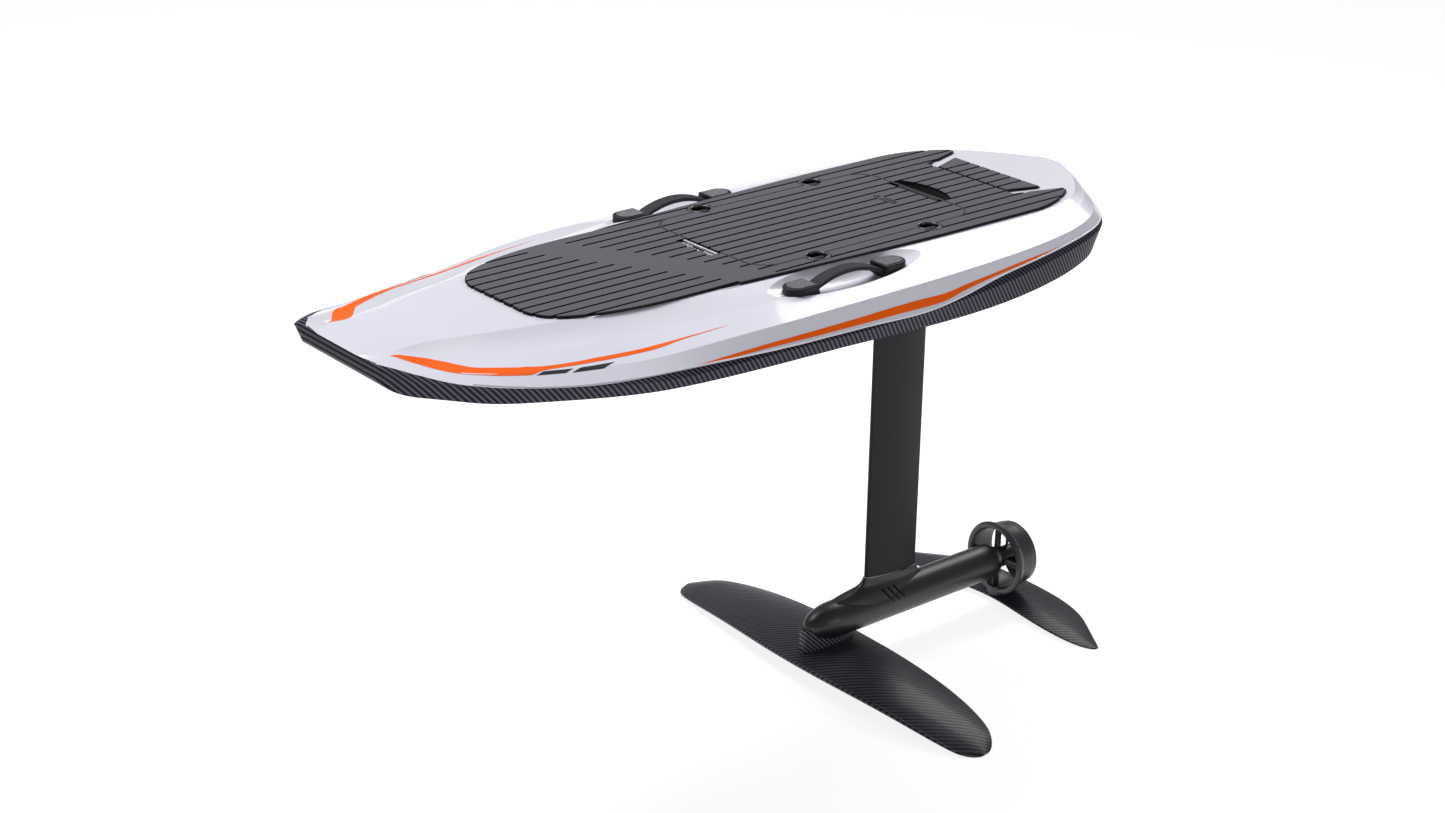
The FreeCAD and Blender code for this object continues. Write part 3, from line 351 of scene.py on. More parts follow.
@dataclass(frozen=True)
class GlossFinish:
    """Glossy painted laminate, slightly uneven as laid up by hand."""

    name: str
    colour: tuple[float, float, float]
    shade: tuple[float, float, float]
    roughness: float = 0.22
    coat: float = 0.5
    specular: float = 0.5
    coat_roughness: float = 0.05
    wide_scale: float = 3.0
    fine_scale: float = 240.0
    relief: float = 0.00006
    rough_spread: float = 0.06

    def build(self) -> bpy.types.Material:
        """Make the material.

        Returns:
            The material.
        """
        material, graph, shader = new_material(self.name)
        place = graph.add("ShaderNodeTexCoord").outputs["Object"]
        wide = graph.add("ShaderNodeTexNoise", {"Vector": place, "Scale": self.wide_scale, "Detail": 2.0})
        fine = graph.add("ShaderNodeTexNoise", {"Vector": place, "Scale": self.fine_scale, "Detail": 2.0})
        tone = graph.span(wide.outputs["Fac"], 0.35, 0.65)
        colour = graph.blend(tone, opaque(self.shade), opaque(self.colour))
        graph.tree.links.new(colour, shader.inputs["Base Color"])
        bump = graph.add(
            "ShaderNodeBump",
            {"Height": fine.outputs["Fac"], "Distance": self.relief, "Strength": 0.3},
        )
        graph.tree.links.new(bump.outputs["Normal"], shader.inputs["Normal"])
        rough = graph.maths("MULTIPLY_ADD", fine.outputs["Fac"], self.rough_spread, self.roughness)
        graph.tree.links.new(rough, shader.inputs["Roughness"])
        shader.inputs["Specular IOR Level"].default_value = self.specular
        shader.inputs["Coat Weight"].default_value = self.coat
        shader.inputs["Coat Roughness"].default_value = self.coat_roughness
        return material


Finish = GrainFinish | FoamFinish | WeaveFinish | GlossFinish

WHITE_GELCOAT = GlossFinish("white_gelcoat", (0.78, 0.78, 0.88), (0.765, 0.765, 0.868))
ORANGE_PAINT = GlossFinish("orange_paint", (1.0, 0.13, 0.0), (0.95, 0.12, 0.0), 0.5, coat=0.05, specular=0.12)
SLATE_PAINT = GlossFinish("slate_paint", (0.022, 0.026, 0.034), (0.018, 0.021, 0.028))
HULL_CARBON = WeaveFinish(
    "hull_carbon",
    dark=(0.004, 0.004, 0.007),
    light=(0.085, 0.085, 0.115),
    weave=Weave.HULL,
    pitch=0.0100,
    roughness=0.55,
    coat=0.0,
    specular=0.05,
)
WING_CARBON = WeaveFinish(
    "wing_carbon",
    dark=(0.006, 0.006, 0.009),
    light=(0.066, 0.066, 0.088),
    weave=Weave.WING,
    pitch=0.0098,
)
SADDLE_CARBON = WeaveFinish(
    "saddle_carbon",
    dark=(0.003, 0.003, 0.005),
    light=(0.13, 0.13, 0.16),
    weave=Weave.HULL,
    pitch=0.0095,
)
DECK_FOAM = FoamFinish("deck_foam", (0.088, 0.088, 0.104), (0.004, 0.004, 0.006))
BLACK_LINER = GrainFinish("black_liner", (0.010, 0.010, 0.012), (0.022, 0.022, 0.025), 0.7)
BATTERY_CASE = GrainFinish("battery_case", (0.03, 0.03, 0.033), (0.05, 0.05, 0.055), 0.55)
BRUSHED_STEEL = GrainFinish(
    "brushed_steel", (0.45, 0.45, 0.47), (0.6, 0.6, 0.62), 0.3, 500.0, 0.0001, metallic=1.0
)
HANDLE_PLASTIC = GrainFinish(
    "handle_plastic", (0.004, 0.004, 0.006), (0.012, 0.012, 0.015), 0.5, 1500.0, specular=0.3
)
SPECKLED_GRIP = GrainFinish(
    "speckled_grip", (0.030, 0.030, 0.036), (0.26, 0.26, 0.29), 0.8, 600.0, 0.0006, specular=0.3
)
WEBBING = GrainFinish(
    "webbing", (0.006, 0.006, 0.008), (0.050, 0.050, 0.060), 0.75, 700.0, 0.0005, specular=0.3
)
MAST_COAT = GrainFinish(
    "mast_coat", (0.013, 0.013, 0.017), (0.016, 0.016, 0.021), 0.5, 300.0, 0.0001, specular=0.2
)
POD_COAT = GrainFinish(
    "pod_coat", (0.009, 0.009, 0.012), (0.013, 0.013, 0.017), 0.37, 260.0, 0.00004, specular=0.65
)
DUCT_PLASTIC = GrainFinish("duct_plastic", (0.030, 0.030, 0.036), (0.042, 0.042, 0.050), 0.38, 400.0, 0.0001)
PROP_PLASTIC = GrainFinish("prop_plastic", (0.008, 0.008, 0.009), (0.014, 0.014, 0.016), 0.4, 400.0, 0.0001)
LATCH_PLASTIC = GrainFinish(
    "latch_plastic", (0.007, 0.007, 0.008), (0.014, 0.014, 0.016), 0.25, 500.0, 0.0001, coat=0.6
)
# Pale grey on the mast's joint bead: a painted highlight along the joint, not the seal's own colour.
SEAL_WITH_PAINTED_HIGHLIGHT = GrainFinish("seal_painted_highlight", (0.34, 0.34, 0.38), (0.42, 0.42, 0.46), 0.4)

SLOT_FINISHES: dict[str, Finish] = {
    "gelcoat": WHITE_GELCOAT,
    "carbon": HULL_CARBON,
    "carbon_wing": WING_CARBON,
    "liner": BLACK_LINER,
    "battery_case": BATTERY_CASE,
    "foam": DECK_FOAM,
    "steel": BRUSHED_STEEL,
    "handle_plastic": HANDLE_PLASTIC,
    "webbing": WEBBING,
    "mast_coat": MAST_COAT,
    "pod_coat": POD_COAT,
    "nose_plastic": POD_COAT,
    "duct_plastic": DUCT_PLASTIC,
    "propeller_plastic": PROP_PLASTIC,
    "latch_plastic": LATCH_PLASTIC,
}
NODE_FINISHES: dict[str, Finish] = {"wing_saddle": SADDLE_CARBON}


@dataclass
class Paints:
    """Materials, each made once and shared."""

    made: dict[str, bpy.types.Material] = field(default_factory=dict)

    def of(self, finish: Finish) -> bpy.types.Material:
        """The material of a finish.

        Args:
            finish: the finish.

        Returns:
            Its material, made on first use.
        """
        if finish.name not in self.made:
            self.made[finish.name] = finish.build()
        return self.made[finish.name]


def place_mesh(
    name: str, points: Sequence[Sequence[float]], faces: Sequence[Sequence[int]], paint: bpy.types.Material
) -> bpy.types.Object:
    """A smooth mesh object in the scene.

    Args:
        name: the piece's name.
        points: its vertices.
        faces: its faces.
        paint: its material.

    Returns:
        The object.
    """
    mesh = bpy.data.meshes.new(name)
    mesh.from_pydata([tuple(point) for point in points], [], faces)
    mesh.validate()
    mesh.shade_smooth()
    mesh.materials.append(paint)
    piece = bpy.data.objects.new(name, mesh)
    bpy.context.scene.collection.objects.link(piece)
    return piece


def ring_faces(rings: int, count: int) -> list[tuple[int, ...]]:
    """Four-sided faces between rings of points.

    Args:
        rings: how many rings there are.
        count: points in each ring.

    Returns:
        The faces.
    """
    faces = []
    for ring in range(rings - 1):
        for index in range(count):
            after = (index + 1) % count
            low = ring * count
            faces.append((low + index, low + after, low + count + after, low + count + index))
    return faces


def lathe(
    profile: Sequence[tuple[float, float]], count: int = 24
) -> tuple[list[Vector], list[tuple[int, ...]]]:
    """A turned form about Z.

    Args:
        profile: radius and height pairs, from the outside in.
        count: points round the axis.

    Returns:
        Its vertices and faces.
    """
    points = []
    for radius, height in profile:
        for index in range(count):
            angle = math.tau * index / count
            points.append(Vector((radius * math.cos(angle), radius * math.sin(angle), height)))
    faces = ring_faces(len(profile), count)
    last = (len(profile) - 1) * count
    faces.append(tuple(last + index for index in range(count)))
    return points, faces


def slope_at(rows: Sequence[tuple[float, float]], index: int) -> float:
    """The slope of a short table's curve at one row.

    Args:
        rows: pairs of place and value.
        index: the row's number.

    Returns:
        The slope.
    """
    before = rows[max(index - 1, 0)]
    after = rows[min(index + 1, len(rows) - 1)]
    return (after[1] - before[1]) / (after[0] - before[0])


def smooth_value(rows: Sequence[tuple[float, float]], at: float) -> float:
    """A value from a short table, joined by smooth curves.

    Args:
        rows: pairs of place and value, places falling.
        at: the place.

    Returns:
        The value there.
    """
    count = len(rows)
    index = next((k for k in range(count - 1) if rows[k + 1][0] <= at), count - 2)
    x0, y0 = rows[index]
    x1, y1 = rows[index + 1]
    low_slope, high_slope = slope_at(rows, index), slope_at(rows, index + 1)
    width = x1 - x0
    share = min(max((at - x0) / width, 0.0), 1.0)
    first = (1 + 2 * share) * (1 - share) ** 2 * y0 + share * (1 - share) ** 2 * width * low_slope
    second = share**2 * (3 - 2 * share) * y1 - share**2 * (1 - share) * width * high_slope
    return first + second


@dataclass
class Shells:
    """The deck and hull surfaces that stripes are laid on."""

    tree: BVHTree
    lift: float = 0.00035
    above: float = 0.2
    beside: float = 0.6

    def lay(self, facing: Facing, side: int, along: float, offset: float) -> Vector | None:
        """A point just over the shell.

        Args:
            facing: the direction the point comes from.
            side: 1 for port and -1 for starboard.
            along: place along the board in mm.
            offset: half width or depth in mm.

        Returns:
            The point, or nothing where the shell isn't met.
        """
        if facing is Facing.ABOVE:
            start = Vector((along * MILLIMETRE, side * offset * MILLIMETRE, DECK_HEIGHT + self.above))
            way = Vector((0, 0, -1))
        else:
            start = Vector((along * MILLIMETRE, side * self.beside, DECK_HEIGHT + offset * MILLIMETRE))
            way = Vector((0, -side, 0))
        place, normal, _, _ = self.tree.ray_cast(start, way)
        if place is None:
            return None
        if normal.dot(way) > 0:
            normal = -normal
        return place + normal * self.lift


@dataclass(frozen=True)
class Stripe:
    """A painted stripe whose two edges come from a short table: along, one edge, other edge, in mm."""

    name: str
    facing: Facing
    rows: Rows
    finish: Finish
    steps: int = 160
    lanes: int = 4

    def build(self, shells: Shells, side: int, paints: Paints) -> bpy.types.Object:
        """Lay the stripe on one side of the board.

        Args:
            shells: the surfaces it is laid on.
            side: 1 for port and -1 for starboard.
            paints: the materials.

        Returns:
            The stripe.
        """
        first = [(row[0], row[1]) for row in self.rows]
        second = [(row[0], row[2]) for row in self.rows]
        start, end = self.rows[0][0], self.rows[-1][0]
        points: list[Vector] = []
        columns: list[list[int]] = []
        for step in range(self.steps + 1):
            along = start + (end - start) * step / self.steps
            low, high = smooth_value(first, along), smooth_value(second, along)
            column = []
            for lane in range(self.lanes + 1):
                point = shells.lay(self.facing, side, along, low + (high - low) * lane / self.lanes)
                if point is not None:
                    column.append(len(points))
                    points.append(point)
            if len(column) == self.lanes + 1:
                columns.append(column)
        faces = []
        for before, after in zip(columns, columns[1:]):
            for lane in range(self.lanes):
                face = (before[lane], after[lane], after[lane + 1], before[lane + 1])
                faces.append(face if side > 0 else face[::-1])
        piece = place_mesh(f"{self.name}_{side_word(side)}", points, faces, paints.of(self.finish))
        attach(piece, BOARD)
        return piece


@dataclass(frozen=True)
class Patch:
    """A painted four-cornered patch: corners as along and half width in mm."""

    name: str
    corners: tuple[tuple[float, float], ...]
    finish: Finish
    steps: int = 12

    def build(self, shells: Shells, side: int, paints: Paints) -> bpy.types.Object:
        """Lay the patch on one side of the board.

        Args:
            shells: the surfaces it is laid on.
            side: 1 for port and -1 for starboard.
            paints: the materials.

        Returns:
            The patch.
        """
        a, b, c, d = (Vector(corner) for corner in self.corners)
        points = []
        for row in range(self.steps + 1):
            for column in range(self.steps + 1):
                u, v = column / self.steps, row / self.steps
                place = (a * (1 - u) + d * u) * (1 - v) + (b * (1 - u) + c * u) * v
                points.append(shells.lay(Facing.ABOVE, side, place.x, place.y))
        width = self.steps + 1
        faces = []
        for row in range(self.steps):
            for column in range(self.steps):
                low = row * width + column
                faces.append((low, low + 1, low + width + 1, low + width))
        piece = place_mesh(f"{self.name}_{side_word(side)}", points, faces, paints.of(self.finish))
        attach(piece, BOARD)
        return piece


FRONT_STRIPE = Stripe(
    "front_stripe",
    Facing.ABOVE,
    (
        (836, 99, 100),
        (826, 100, 110),
        (815, 103, 125),
        (803, 109, 144),
        (790, 116, 165),
        (776, 126, 183),
        (760, 143, 197),
        (744, 165, 207),
        (729, 184, 215),
        (705, 199, 228),
        (657, 224, 249),
        (648, 227, 251),
        (638, 232, 251),
        (618, 240, 252),
        (571, 251, 261),
        (514, 260, 271),
        (438, 274, 284),
        (405, 278, 288),
        (360, 283, 288),
        (294, 289, 291),
        (253, 291.9, 292.1),
    ),
    ORANGE_PAINT,
)
REAR_STRIPE = Stripe(
    "rear_stripe",
    Facing.BESIDE,
    (
        (402, -66, -65.5),
        (355, -67, -64.5),
        (290, -66.5, -62),
        (206, -67, -60.5),
        (90, -70, -61),
        (-8, -72, -61),
        (-95, -73, -60),
        (-158, -74, -60),
        (-200, -74, -61),
        (-232, -72, -61),
        (-276, -65, -57),
        (-360, -57, -52),
        (-434, -53, -48.5),
        (-512, -50, -47),
        (-596, -48, -47),
    ),
    ORANGE_PAINT,
)
SLATE_PATCHES = (
    Patch("slate_patch_front", ((645, 255), (628, 253), (576, 268), (595, 271)), SLATE_PAINT),
    Patch("slate_patch_rear", ((584, 275), (563, 271), (499, 283), (527, 289)), SLATE_PAINT),
)


@dataclass(frozen=True)
class FootBlock:
    """A block on a handle's foot, flat to the strap and round at its outer end."""

    label: str
    inner: float
    outer: float
    half_width: float
    low: float
    high: float
    edge: float
    finish: Finish
    steps: int = 16
    crease: float = math.radians(35)
    bevel_crease: float = math.radians(40)

    def outline(self) -> list[tuple[float, float]]:
        """The block's plan.

        Returns:
            Places from the handle's middle, along the board and across it.
        """
        corners = [(self.inner, -self.half_width), (self.inner, self.half_width)]
        turn = self.outer - self.half_width
        for index in range(self.steps + 1):
            angle = math.pi / 2 - math.pi * index / self.steps
            corners.append((turn + self.half_width * math.cos(angle), self.half_width * math.sin(angle)))
        return corners

    def build(self, outwards: int, side: int, paints: Paints) -> bpy.types.Object:
        """Make the block.

        Args:
            outwards: 1 for the front foot and -1 for the rear one.
            side: 1 for port and -1 for starboard.
            paints: the materials.

        Returns:
            The block.
        """
        name = f"{self.label}_{end_word(outwards)}_{side_word(side)}"
        work = bmesh.new()
        ring = [
            work.verts.new((HANDLE_MIDDLE + outwards * x, side * (HANDLE_LINE + y), DECK_HEIGHT + self.low))
            for x, y in self.outline()
        ]
        face = work.faces.new(ring)
        raised = bmesh.ops.extrude_face_region(work, geom=[face])
        moved = [item for item in raised["geom"] if isinstance(item, bmesh.types.BMVert)]
        bmesh.ops.translate(work, verts=moved, vec=(0, 0, self.high - self.low))
        bmesh.ops.recalc_face_normals(work, faces=work.faces)
        mesh = bpy.data.meshes.new(name)
        work.to_mesh(mesh)
        work.free()
        mesh.shade_smooth()
        mesh.set_sharp_from_angle(angle=self.crease)
        mesh.materials.append(paints.of(self.finish))
        piece = bpy.data.objects.new(name, mesh)
        bpy.context.scene.collection.objects.link(piece)
        bevel = piece.modifiers.new("round_edge", "BEVEL")
        bevel.width = self.edge
        bevel.segments = 3
        bevel.limit_method = "ANGLE"
        bevel.angle_limit = self.bevel_crease
        bevel.harden_normals = True
        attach(piece, BOARD)
        return piece


FOOT_CAP = FootBlock("foot_cap", 0.0835, 0.1445, 0.0248, -0.019, -0.0085, 0.0025, HANDLE_PLASTIC)
FOOT_PATCH = FootBlock("foot_patch", 0.0860, 0.1370, 0.0190, -0.0090, -0.0072, 0.0008, SPECKLED_GRIP)


@dataclass
class EdgeLip:
    """The thin white lip where the deck meets the hull."""

    rows: tuple[tuple[float, float], ...] = (
        (0.97, 18),
        (0.92, 31),
        (0.85, 45),
        (0.72, 60),
        (0.55, 67),
        (0.38, 68),
        (0.17, 75),
        (-0.05, 80),
        (-0.20, 83),
        (-0.31, 75),
        (-0.42, 62),
        (-0.55, 54),
        (-0.72, 48),
        (-1.06, 43),
    )
    half_length: float = 874.0
    middle: float = 5.0
    first: float = 0.86
    last: float = -0.93
    steps: int = 150
    bead: float = 0.0016
    rise: float = 1.5

    def build(self, shells: Shells, side: int, paints: Paints) -> bpy.types.Object:
        """Lay the lip on one side of the board.

        Args:
            shells: the surfaces it is laid on.
            side: 1 for port and -1 for starboard.
            paints: the materials.

        Returns:
            The lip.
        """
        places = []
        for step in range(self.steps + 1):
            share = self.first + (self.last - self.first) * step / self.steps
            down = smooth_value(self.rows, share) - self.rise
            place = shells.lay(Facing.BESIDE, side, self.middle + share * self.half_length, -down)
            if place is not None:
                places.append(place)
        curve = bpy.data.curves.new("edge_lip", "CURVE")
        curve.dimensions = "3D"
        curve.bevel_depth = self.bead
        curve.bevel_resolution = 2
        curve.use_fill_caps = True
        spline = curve.splines.new("POLY")
        spline.points.add(len(places) - 1)
        for point, place in zip(spline.points, places):
            point.co = (*place, 1.0)
        curve.materials.append(paints.of(WHITE_GELCOAT))
        piece = bpy.data.objects.new(f"edge_lip_{side_word(side)}", curve)
        bpy.context.scene.collection.objects.link(piece)
        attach(piece, BOARD)
        return piece


@dataclass(frozen=True)
class HatchSeal:
    """The black edge strip round one corner of the hatch."""

    name: str
    corner: tuple[float, float]
    towards: tuple[int, int]
    radius: float = 0.050
    along: float = 0.042
    across: float = 0.058
    width: float = 0.0042
    height: float = 0.0005
    sunk: float = 0.001
    steps: int = 12
    crease: float = math.radians(40)

    def build(self, paints: Paints) -> bpy.types.Object:
        """Make the strip.

        Args:
            paints: the materials.

        Returns:
            The strip.
        """
        path = [(-self.radius - self.along, 0.0)]
        for index in range(self.steps + 1):
            angle = math.pi / 2 - math.pi / 2 * index / self.steps
            path.append((self.radius * (math.cos(angle) - 1), self.radius * (math.sin(angle) - 1)))
        path.append((0.0, -self.radius - self.across))
        corner, towards = self.corner, self.towards
        middle = [Vector((corner[0] + towards[0] * x, corner[1] + towards[1] * y)) for x, y in path]
        points = []
        for index, place in enumerate(middle):
            before, after = middle[max(index - 1, 0)], middle[min(index + 1, len(middle) - 1)]
            way = (after - before).normalized()
            out = Vector((-way.y, way.x)) * self.width / 2
            for edge in (place + out, place - out):
                points.append((edge.x, edge.y, DECK_HEIGHT - self.sunk))
                points.append((edge.x, edge.y, DECK_HEIGHT + self.height))
        faces = []
        for index in range(len(middle) - 1):
            low = 4 * index
            faces.append((low + 1, low + 3, low + 7, low + 5))
            faces.append((low, low + 1, low + 5, low + 4))
            faces.append((low + 2, low + 6, low + 7, low + 3))
        piece = place_mesh(self.name, points, faces, paints.of(BLACK_LINER))
        piece.data.set_sharp_from_angle(angle=self.crease)
        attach(piece, HATCH)
        return piece


@dataclass(frozen=True)
class KeyRim:
    """The oval rim round the key slot."""

    centre: float = -0.390
    reach: float = 0.019
    radius: float = 0.0095
    height: float = 0.0006
    sunk: float = 0.002
    floor_depth: float = 0.0006
    inner_share: float = 0.62
    floor_share: float = 0.5
    count: int = 40
    crease: float = math.radians(35)

    def build(self, paints: Paints) -> bpy.types.Object:
        """Make the rim.

        Args:
            paints: the materials.

        Returns:
            The rim.
        """
        profile = [
            (1.0, -self.sunk),
            (1.0, self.height),
            (self.inner_share, self.height),
            (self.floor_share, -self.floor_depth),
            (0.0, -self.floor_depth),
        ]
        points = []
        for share, z in profile:
            for index in range(self.count):
                angle = math.tau * index / self.count
                shift = math.copysign(self.reach, math.sin(angle)) if share else 0.0
                x = self.radius * share * math.cos(angle)
                y = self.radius * share * math.sin(angle) + shift
                points.append((self.centre + x, y, DECK_HEIGHT + z))
        faces = ring_faces(len(profile), self.count)
        piece = place_mesh("key_rim", points, faces, paints.of(LATCH_PLASTIC))
        piece.data.set_sharp_from_angle(angle=self.crease)
        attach(piece, HATCH)
        return piece


@dataclass(frozen=True)
class ScrewHead:
    """A countersunk screw head."""

    name: str
    place: tuple[float, float, float]
    axis: tuple[float, float, float]
    radius: float
    finish: Finish
    body: str
    slot: str
    crease: float = math.radians(30)

    def build(self, paints: Paints) -> bpy.types.Object:
        """Make the screw head.

        Args:
            paints: the materials.

        Returns:
            The screw head.
        """
        r = self.radius
        profile = [
            (r, -0.3 * r),
            (r, 0.12 * r),
            (0.86 * r, 0.22 * r),
            (0.5 * r, 0.22 * r),
            (0.46 * r, -0.2 * r),
        ]
        points, faces = lathe(profile)
        turn = Vector((0, 0, 1)).rotation_difference(Vector(self.axis)).to_matrix().to_4x4()
        placed = Matrix.Translation(self.place) @ turn
        piece = place_mesh(self.name, [placed @ point for point in points], faces, paints.of(self.finish))
        piece.data.set_sharp_from_angle(angle=self.crease)
        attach(piece, self.body)
        return piece


@dataclass(frozen=True)
class FootScrews:
    """The row of small screws on the outer side of a handle's foot."""

    foot_middle: float = 0.114
    first: float = 0.002
    spacing: float = 0.009
    line: float = 0.2816
    depth: float = 0.0135
    radius: float = 0.0026
    count: int = 3

    def build(self, outwards: int, side: int, paints: Paints) -> list[bpy.types.Object]:
        """Make the screws.

        Args:
            outwards: 1 for the front foot and -1 for the rear one.
            side: 1 for port and -1 for starboard.
            paints: the materials.

        Returns:
            The screws.
        """
        pieces = []
        middle = HANDLE_MIDDLE + outwards * self.foot_middle
        for index in range(self.count):
            along = middle - outwards * (self.first + self.spacing * index)
            screw = ScrewHead(
                f"foot_screw_{end_word(outwards)}_{side_word(side)}_{index + 1}",
                (along, side * self.line, DECK_HEIGHT - self.depth),
                (0.0, side, 0.0),
                self.radius,
                LATCH_PLASTIC,
                BOARD,
                "handle_plastic",
            )
            pieces.append(screw.build(paints))
        return pieces


@dataclass(frozen=True)
class PodScrew:
    """A small screw that faces outwards from the pod's axis: reach from the axis, lean in degrees."""

    label: str
    along: float
    reach: float
    lean: float
    radius: float
    slot: str

    def build(self, ending: str, angle: float, paints: Paints) -> bpy.types.Object:
        """Make one screw.

        Args:
            ending: the end of its name.
            angle: its angle round the axis from the top.
            paints: the materials.

        Returns:
            The screw.
        """
        out = Vector((0.0, math.sin(angle), math.cos(angle)))
        return ScrewHead(
            f"{self.label}_{ending}",
            tuple(Vector((self.along, 0.0, POD_HEIGHT)) + out * self.reach),
            tuple(out),
            self.radius,
            LATCH_PLASTIC,
            BOARD,
            self.slot,
        ).build(paints)


DUCT_SCREW = PodScrew("duct_screw", along=-0.7735, reach=0.0826, lean=52, radius=0.0028, slot="duct_plastic")
POD_SCREW = PodScrew("pod_screw", along=-0.551, reach=0.0393, lean=38, radius=0.0024, slot="pod_coat")


@dataclass(frozen=True)
class LatchRim:
    """The raised rim round a latch cup."""

    name: str
    centre: tuple[float, float]
    radius: float = 0.0225

    def build(self, paints: Paints) -> bpy.types.Object:
        """Make the rim.

        Args:
            paints: the materials.

        Returns:
            The rim.
        """
        r = self.radius
        profile = [
            (r, -0.003),
            (r + 0.0002, 0.0003),
            (r - 0.0008, 0.0012),
            (r - 0.0022, 0.0012),
            (r - 0.0032, 0.0002),
            (r - 0.0034, -0.004),
        ]
        points, faces = lathe(profile, 48)
        shift = Vector((self.centre[0], self.centre[1], DECK_HEIGHT))
        placed = [point + shift for point in points]
        piece = place_mesh(self.name, placed, faces[:-1], paints.of(LATCH_PLASTIC))
        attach(piece, HATCH)
        return piece


@dataclass
class MastSeal:
    """The thin bright line where the mast meets its fairing: a bead whose pale colour is a painted highlight
    along the joint.
    """

    bead: float = 0.0015
    front: tuple[float, float] = (-0.375, 0.071)
    rear: tuple[float, float] = (-0.520, 0.059)
    chord: float = 0.145
    half: float = 0.0104
    section: tuple[tuple[float, float], ...] = (
        (0.0, 0.0),
        (0.01, 0.35),
        (0.045, 0.52),
        (0.1, 0.68),
        (0.2, 0.86),
        (0.38, 1.0),
        (0.6, 0.82),
        (0.8, 0.48),
        (0.93, 0.22),
        (1.0, 0.09),
    )

    def build(self, paints: Paints) -> bpy.types.Object:
        """Make the seal.

        Args:
            paints: the materials.

        Returns:
            The seal.
        """
        curve = bpy.data.curves.new("mast_seal", "CURVE")
        curve.dimensions = "3D"
        curve.bevel_depth = self.bead
        curve.bevel_resolution = 2
        spline = curve.splines.new("POLY")
        starboard = [(share, -width) for share, width in self.section[:0:-1]]
        ring = [*self.section, *starboard]
        spline.points.add(len(ring) - 1)
        spline.use_cyclic_u = True
        for point, (share, width) in zip(spline.points, ring):
            height = self.front[1] + (self.rear[1] - self.front[1]) * share + POD_HEIGHT
            point.co = (self.front[0] - share * self.chord, width * self.half, height, 1.0)
        # The pale colour paints the highlight of the joint.
        curve.materials.append(paints.of(SEAL_WITH_PAINTED_HIGHLIGHT))
        piece = bpy.data.objects.new("mast_seal", curve)
        bpy.context.scene.collection.objects.link(piece)
        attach(piece, BOARD)
        return piece


@dataclass
class PhotoCamera:
    """The camera that sees the craft as the photograph does."""

    place: tuple[float, float, float] = (2.957, 3.546, 2.595)
    right: tuple[float, float, float] = (-0.77418, 0.63276, 0.01417)
    up: tuple[float, float, float] = (-0.23385, -0.30678, 0.92256)
    back: tuple[float, float, float] = (0.58815, 0.71094, 0.38549)
    focal_pixels: float = 2552.13
    frame_pixels: float = 1445.0
    sensor_width: float = 36.0

    def build(self) -> bpy.types.Object:
        """Make the camera and give it to the scene.

        Returns:
            The camera.
        """
        data = bpy.data.cameras.new("photo_camera")
        data.sensor_width = self.sensor_width
        data.lens = self.focal_pixels * self.sensor_width / self.frame_pixels
        data.clip_end = 100.0
        camera = bpy.data.objects.new("photo_camera", data)
        axes = Matrix((self.right, self.up, self.back)).transposed()
        camera.matrix_world = Matrix.Translation(self.place) @ axes.to_4x4()
        bpy.context.scene.collection.objects.link(camera)
        bpy.context.scene.camera = camera
        return camera


@dataclass(frozen=True)
class Lamp:
    """One soft square lamp that faces the craft."""

    name: str
    place: tuple[float, float, float]
    side: float
    power: float
    aim: tuple[float, float, float] = (0.0, 0.0, 0.7)

    def build(self) -> None:
        """Make the lamp."""
        data = bpy.data.lights.new(self.name, "AREA")
        data.size = self.side
        data.energy = self.power
        lamp = bpy.data.objects.new(self.name, data)
        lamp.location = self.place
        way = Vector(self.aim) - Vector(self.place)
        lamp.rotation_euler = way.to_track_quat("-Z", "Y").to_euler()
        bpy.context.scene.collection.objects.link(lamp)


@dataclass
class Studio:
    """Pale floor and soft light."""

    floor_side: float = 60.0
    floor_white: tuple[float, float, float] = (0.45, 0.45, 0.45)
    floor_glow: float = 0.84
    sky_strength: float = 0.25
    lamps: tuple[Lamp, ...] = (
        Lamp("key_lamp", (0.6, -1.6, 4.4), 1.8, 138.0),
        Lamp("rear_lamp", (-3.3, -1.3, 3.3), 1.8, 45.0),
        Lamp("side_lamp", (-1.6, 4.2, 1.4), 0.9, 12.0),
    )

    def build(self) -> None:
        """Make the floor, the sky and the lamps."""
        self._floor()
        self._sky()
        for lamp in self.lamps:
            lamp.build()
        scene = bpy.context.scene
        scene.view_settings.view_transform = "Standard"
        scene.view_settings.look = "None"

    def _floor(self) -> None:
        """Make the pale floor."""
        half = self.floor_side / 2
        corners = [(-half, -half, 0), (half, -half, 0), (half, half, 0), (-half, half, 0)]
        mesh = bpy.data.meshes.new("floor")
        mesh.from_pydata(corners, [], [(0, 1, 2, 3)])
        floor = bpy.data.objects.new("floor", mesh)
        bpy.context.scene.collection.objects.link(floor)
        material, _, shader = new_material("floor_paint")
        shader.inputs["Base Color"].default_value = opaque(self.floor_white)
        shader.inputs["Roughness"].default_value = 1.0
        shader.inputs["Specular IOR Level"].default_value = 0.0
        shader.inputs["Emission Color"].default_value = (1.0, 1.0, 1.0, 1.0)
        shader.inputs["Emission Strength"].default_value = self.floor_glow
        mesh.materials.append(material)

    def _sky(self) -> None:
        """Make an even pale sky."""
        world = bpy.data.worlds.new("studio_sky")
        world.use_nodes = True
        sky = world.node_tree.nodes["Background"]
        sky.inputs["Color"].default_value = (1.0, 1.0, 1.0, 1.0)
        sky.inputs["Strength"].default_value = self.sky_strength
        bpy.context.scene.world = world


def paint_nodes(frame: dict, paints: Paints) -> None:
    """Give each CAD node the finish of its slot.

    Args:
        frame: the loaded frame.
        paints: the materials.
    """
    for part in frame["record"]["subparts"]:
        finish = NODE_FINISHES.get(part["node"], SLOT_FINISHES[part["material_slot"]])
        mesh = frame["nodes"][part["node"]].data
        mesh.materials.clear()
        mesh.materials.append(paints.of(finish))
        log.info("%s in %s", part["node"], finish.name)


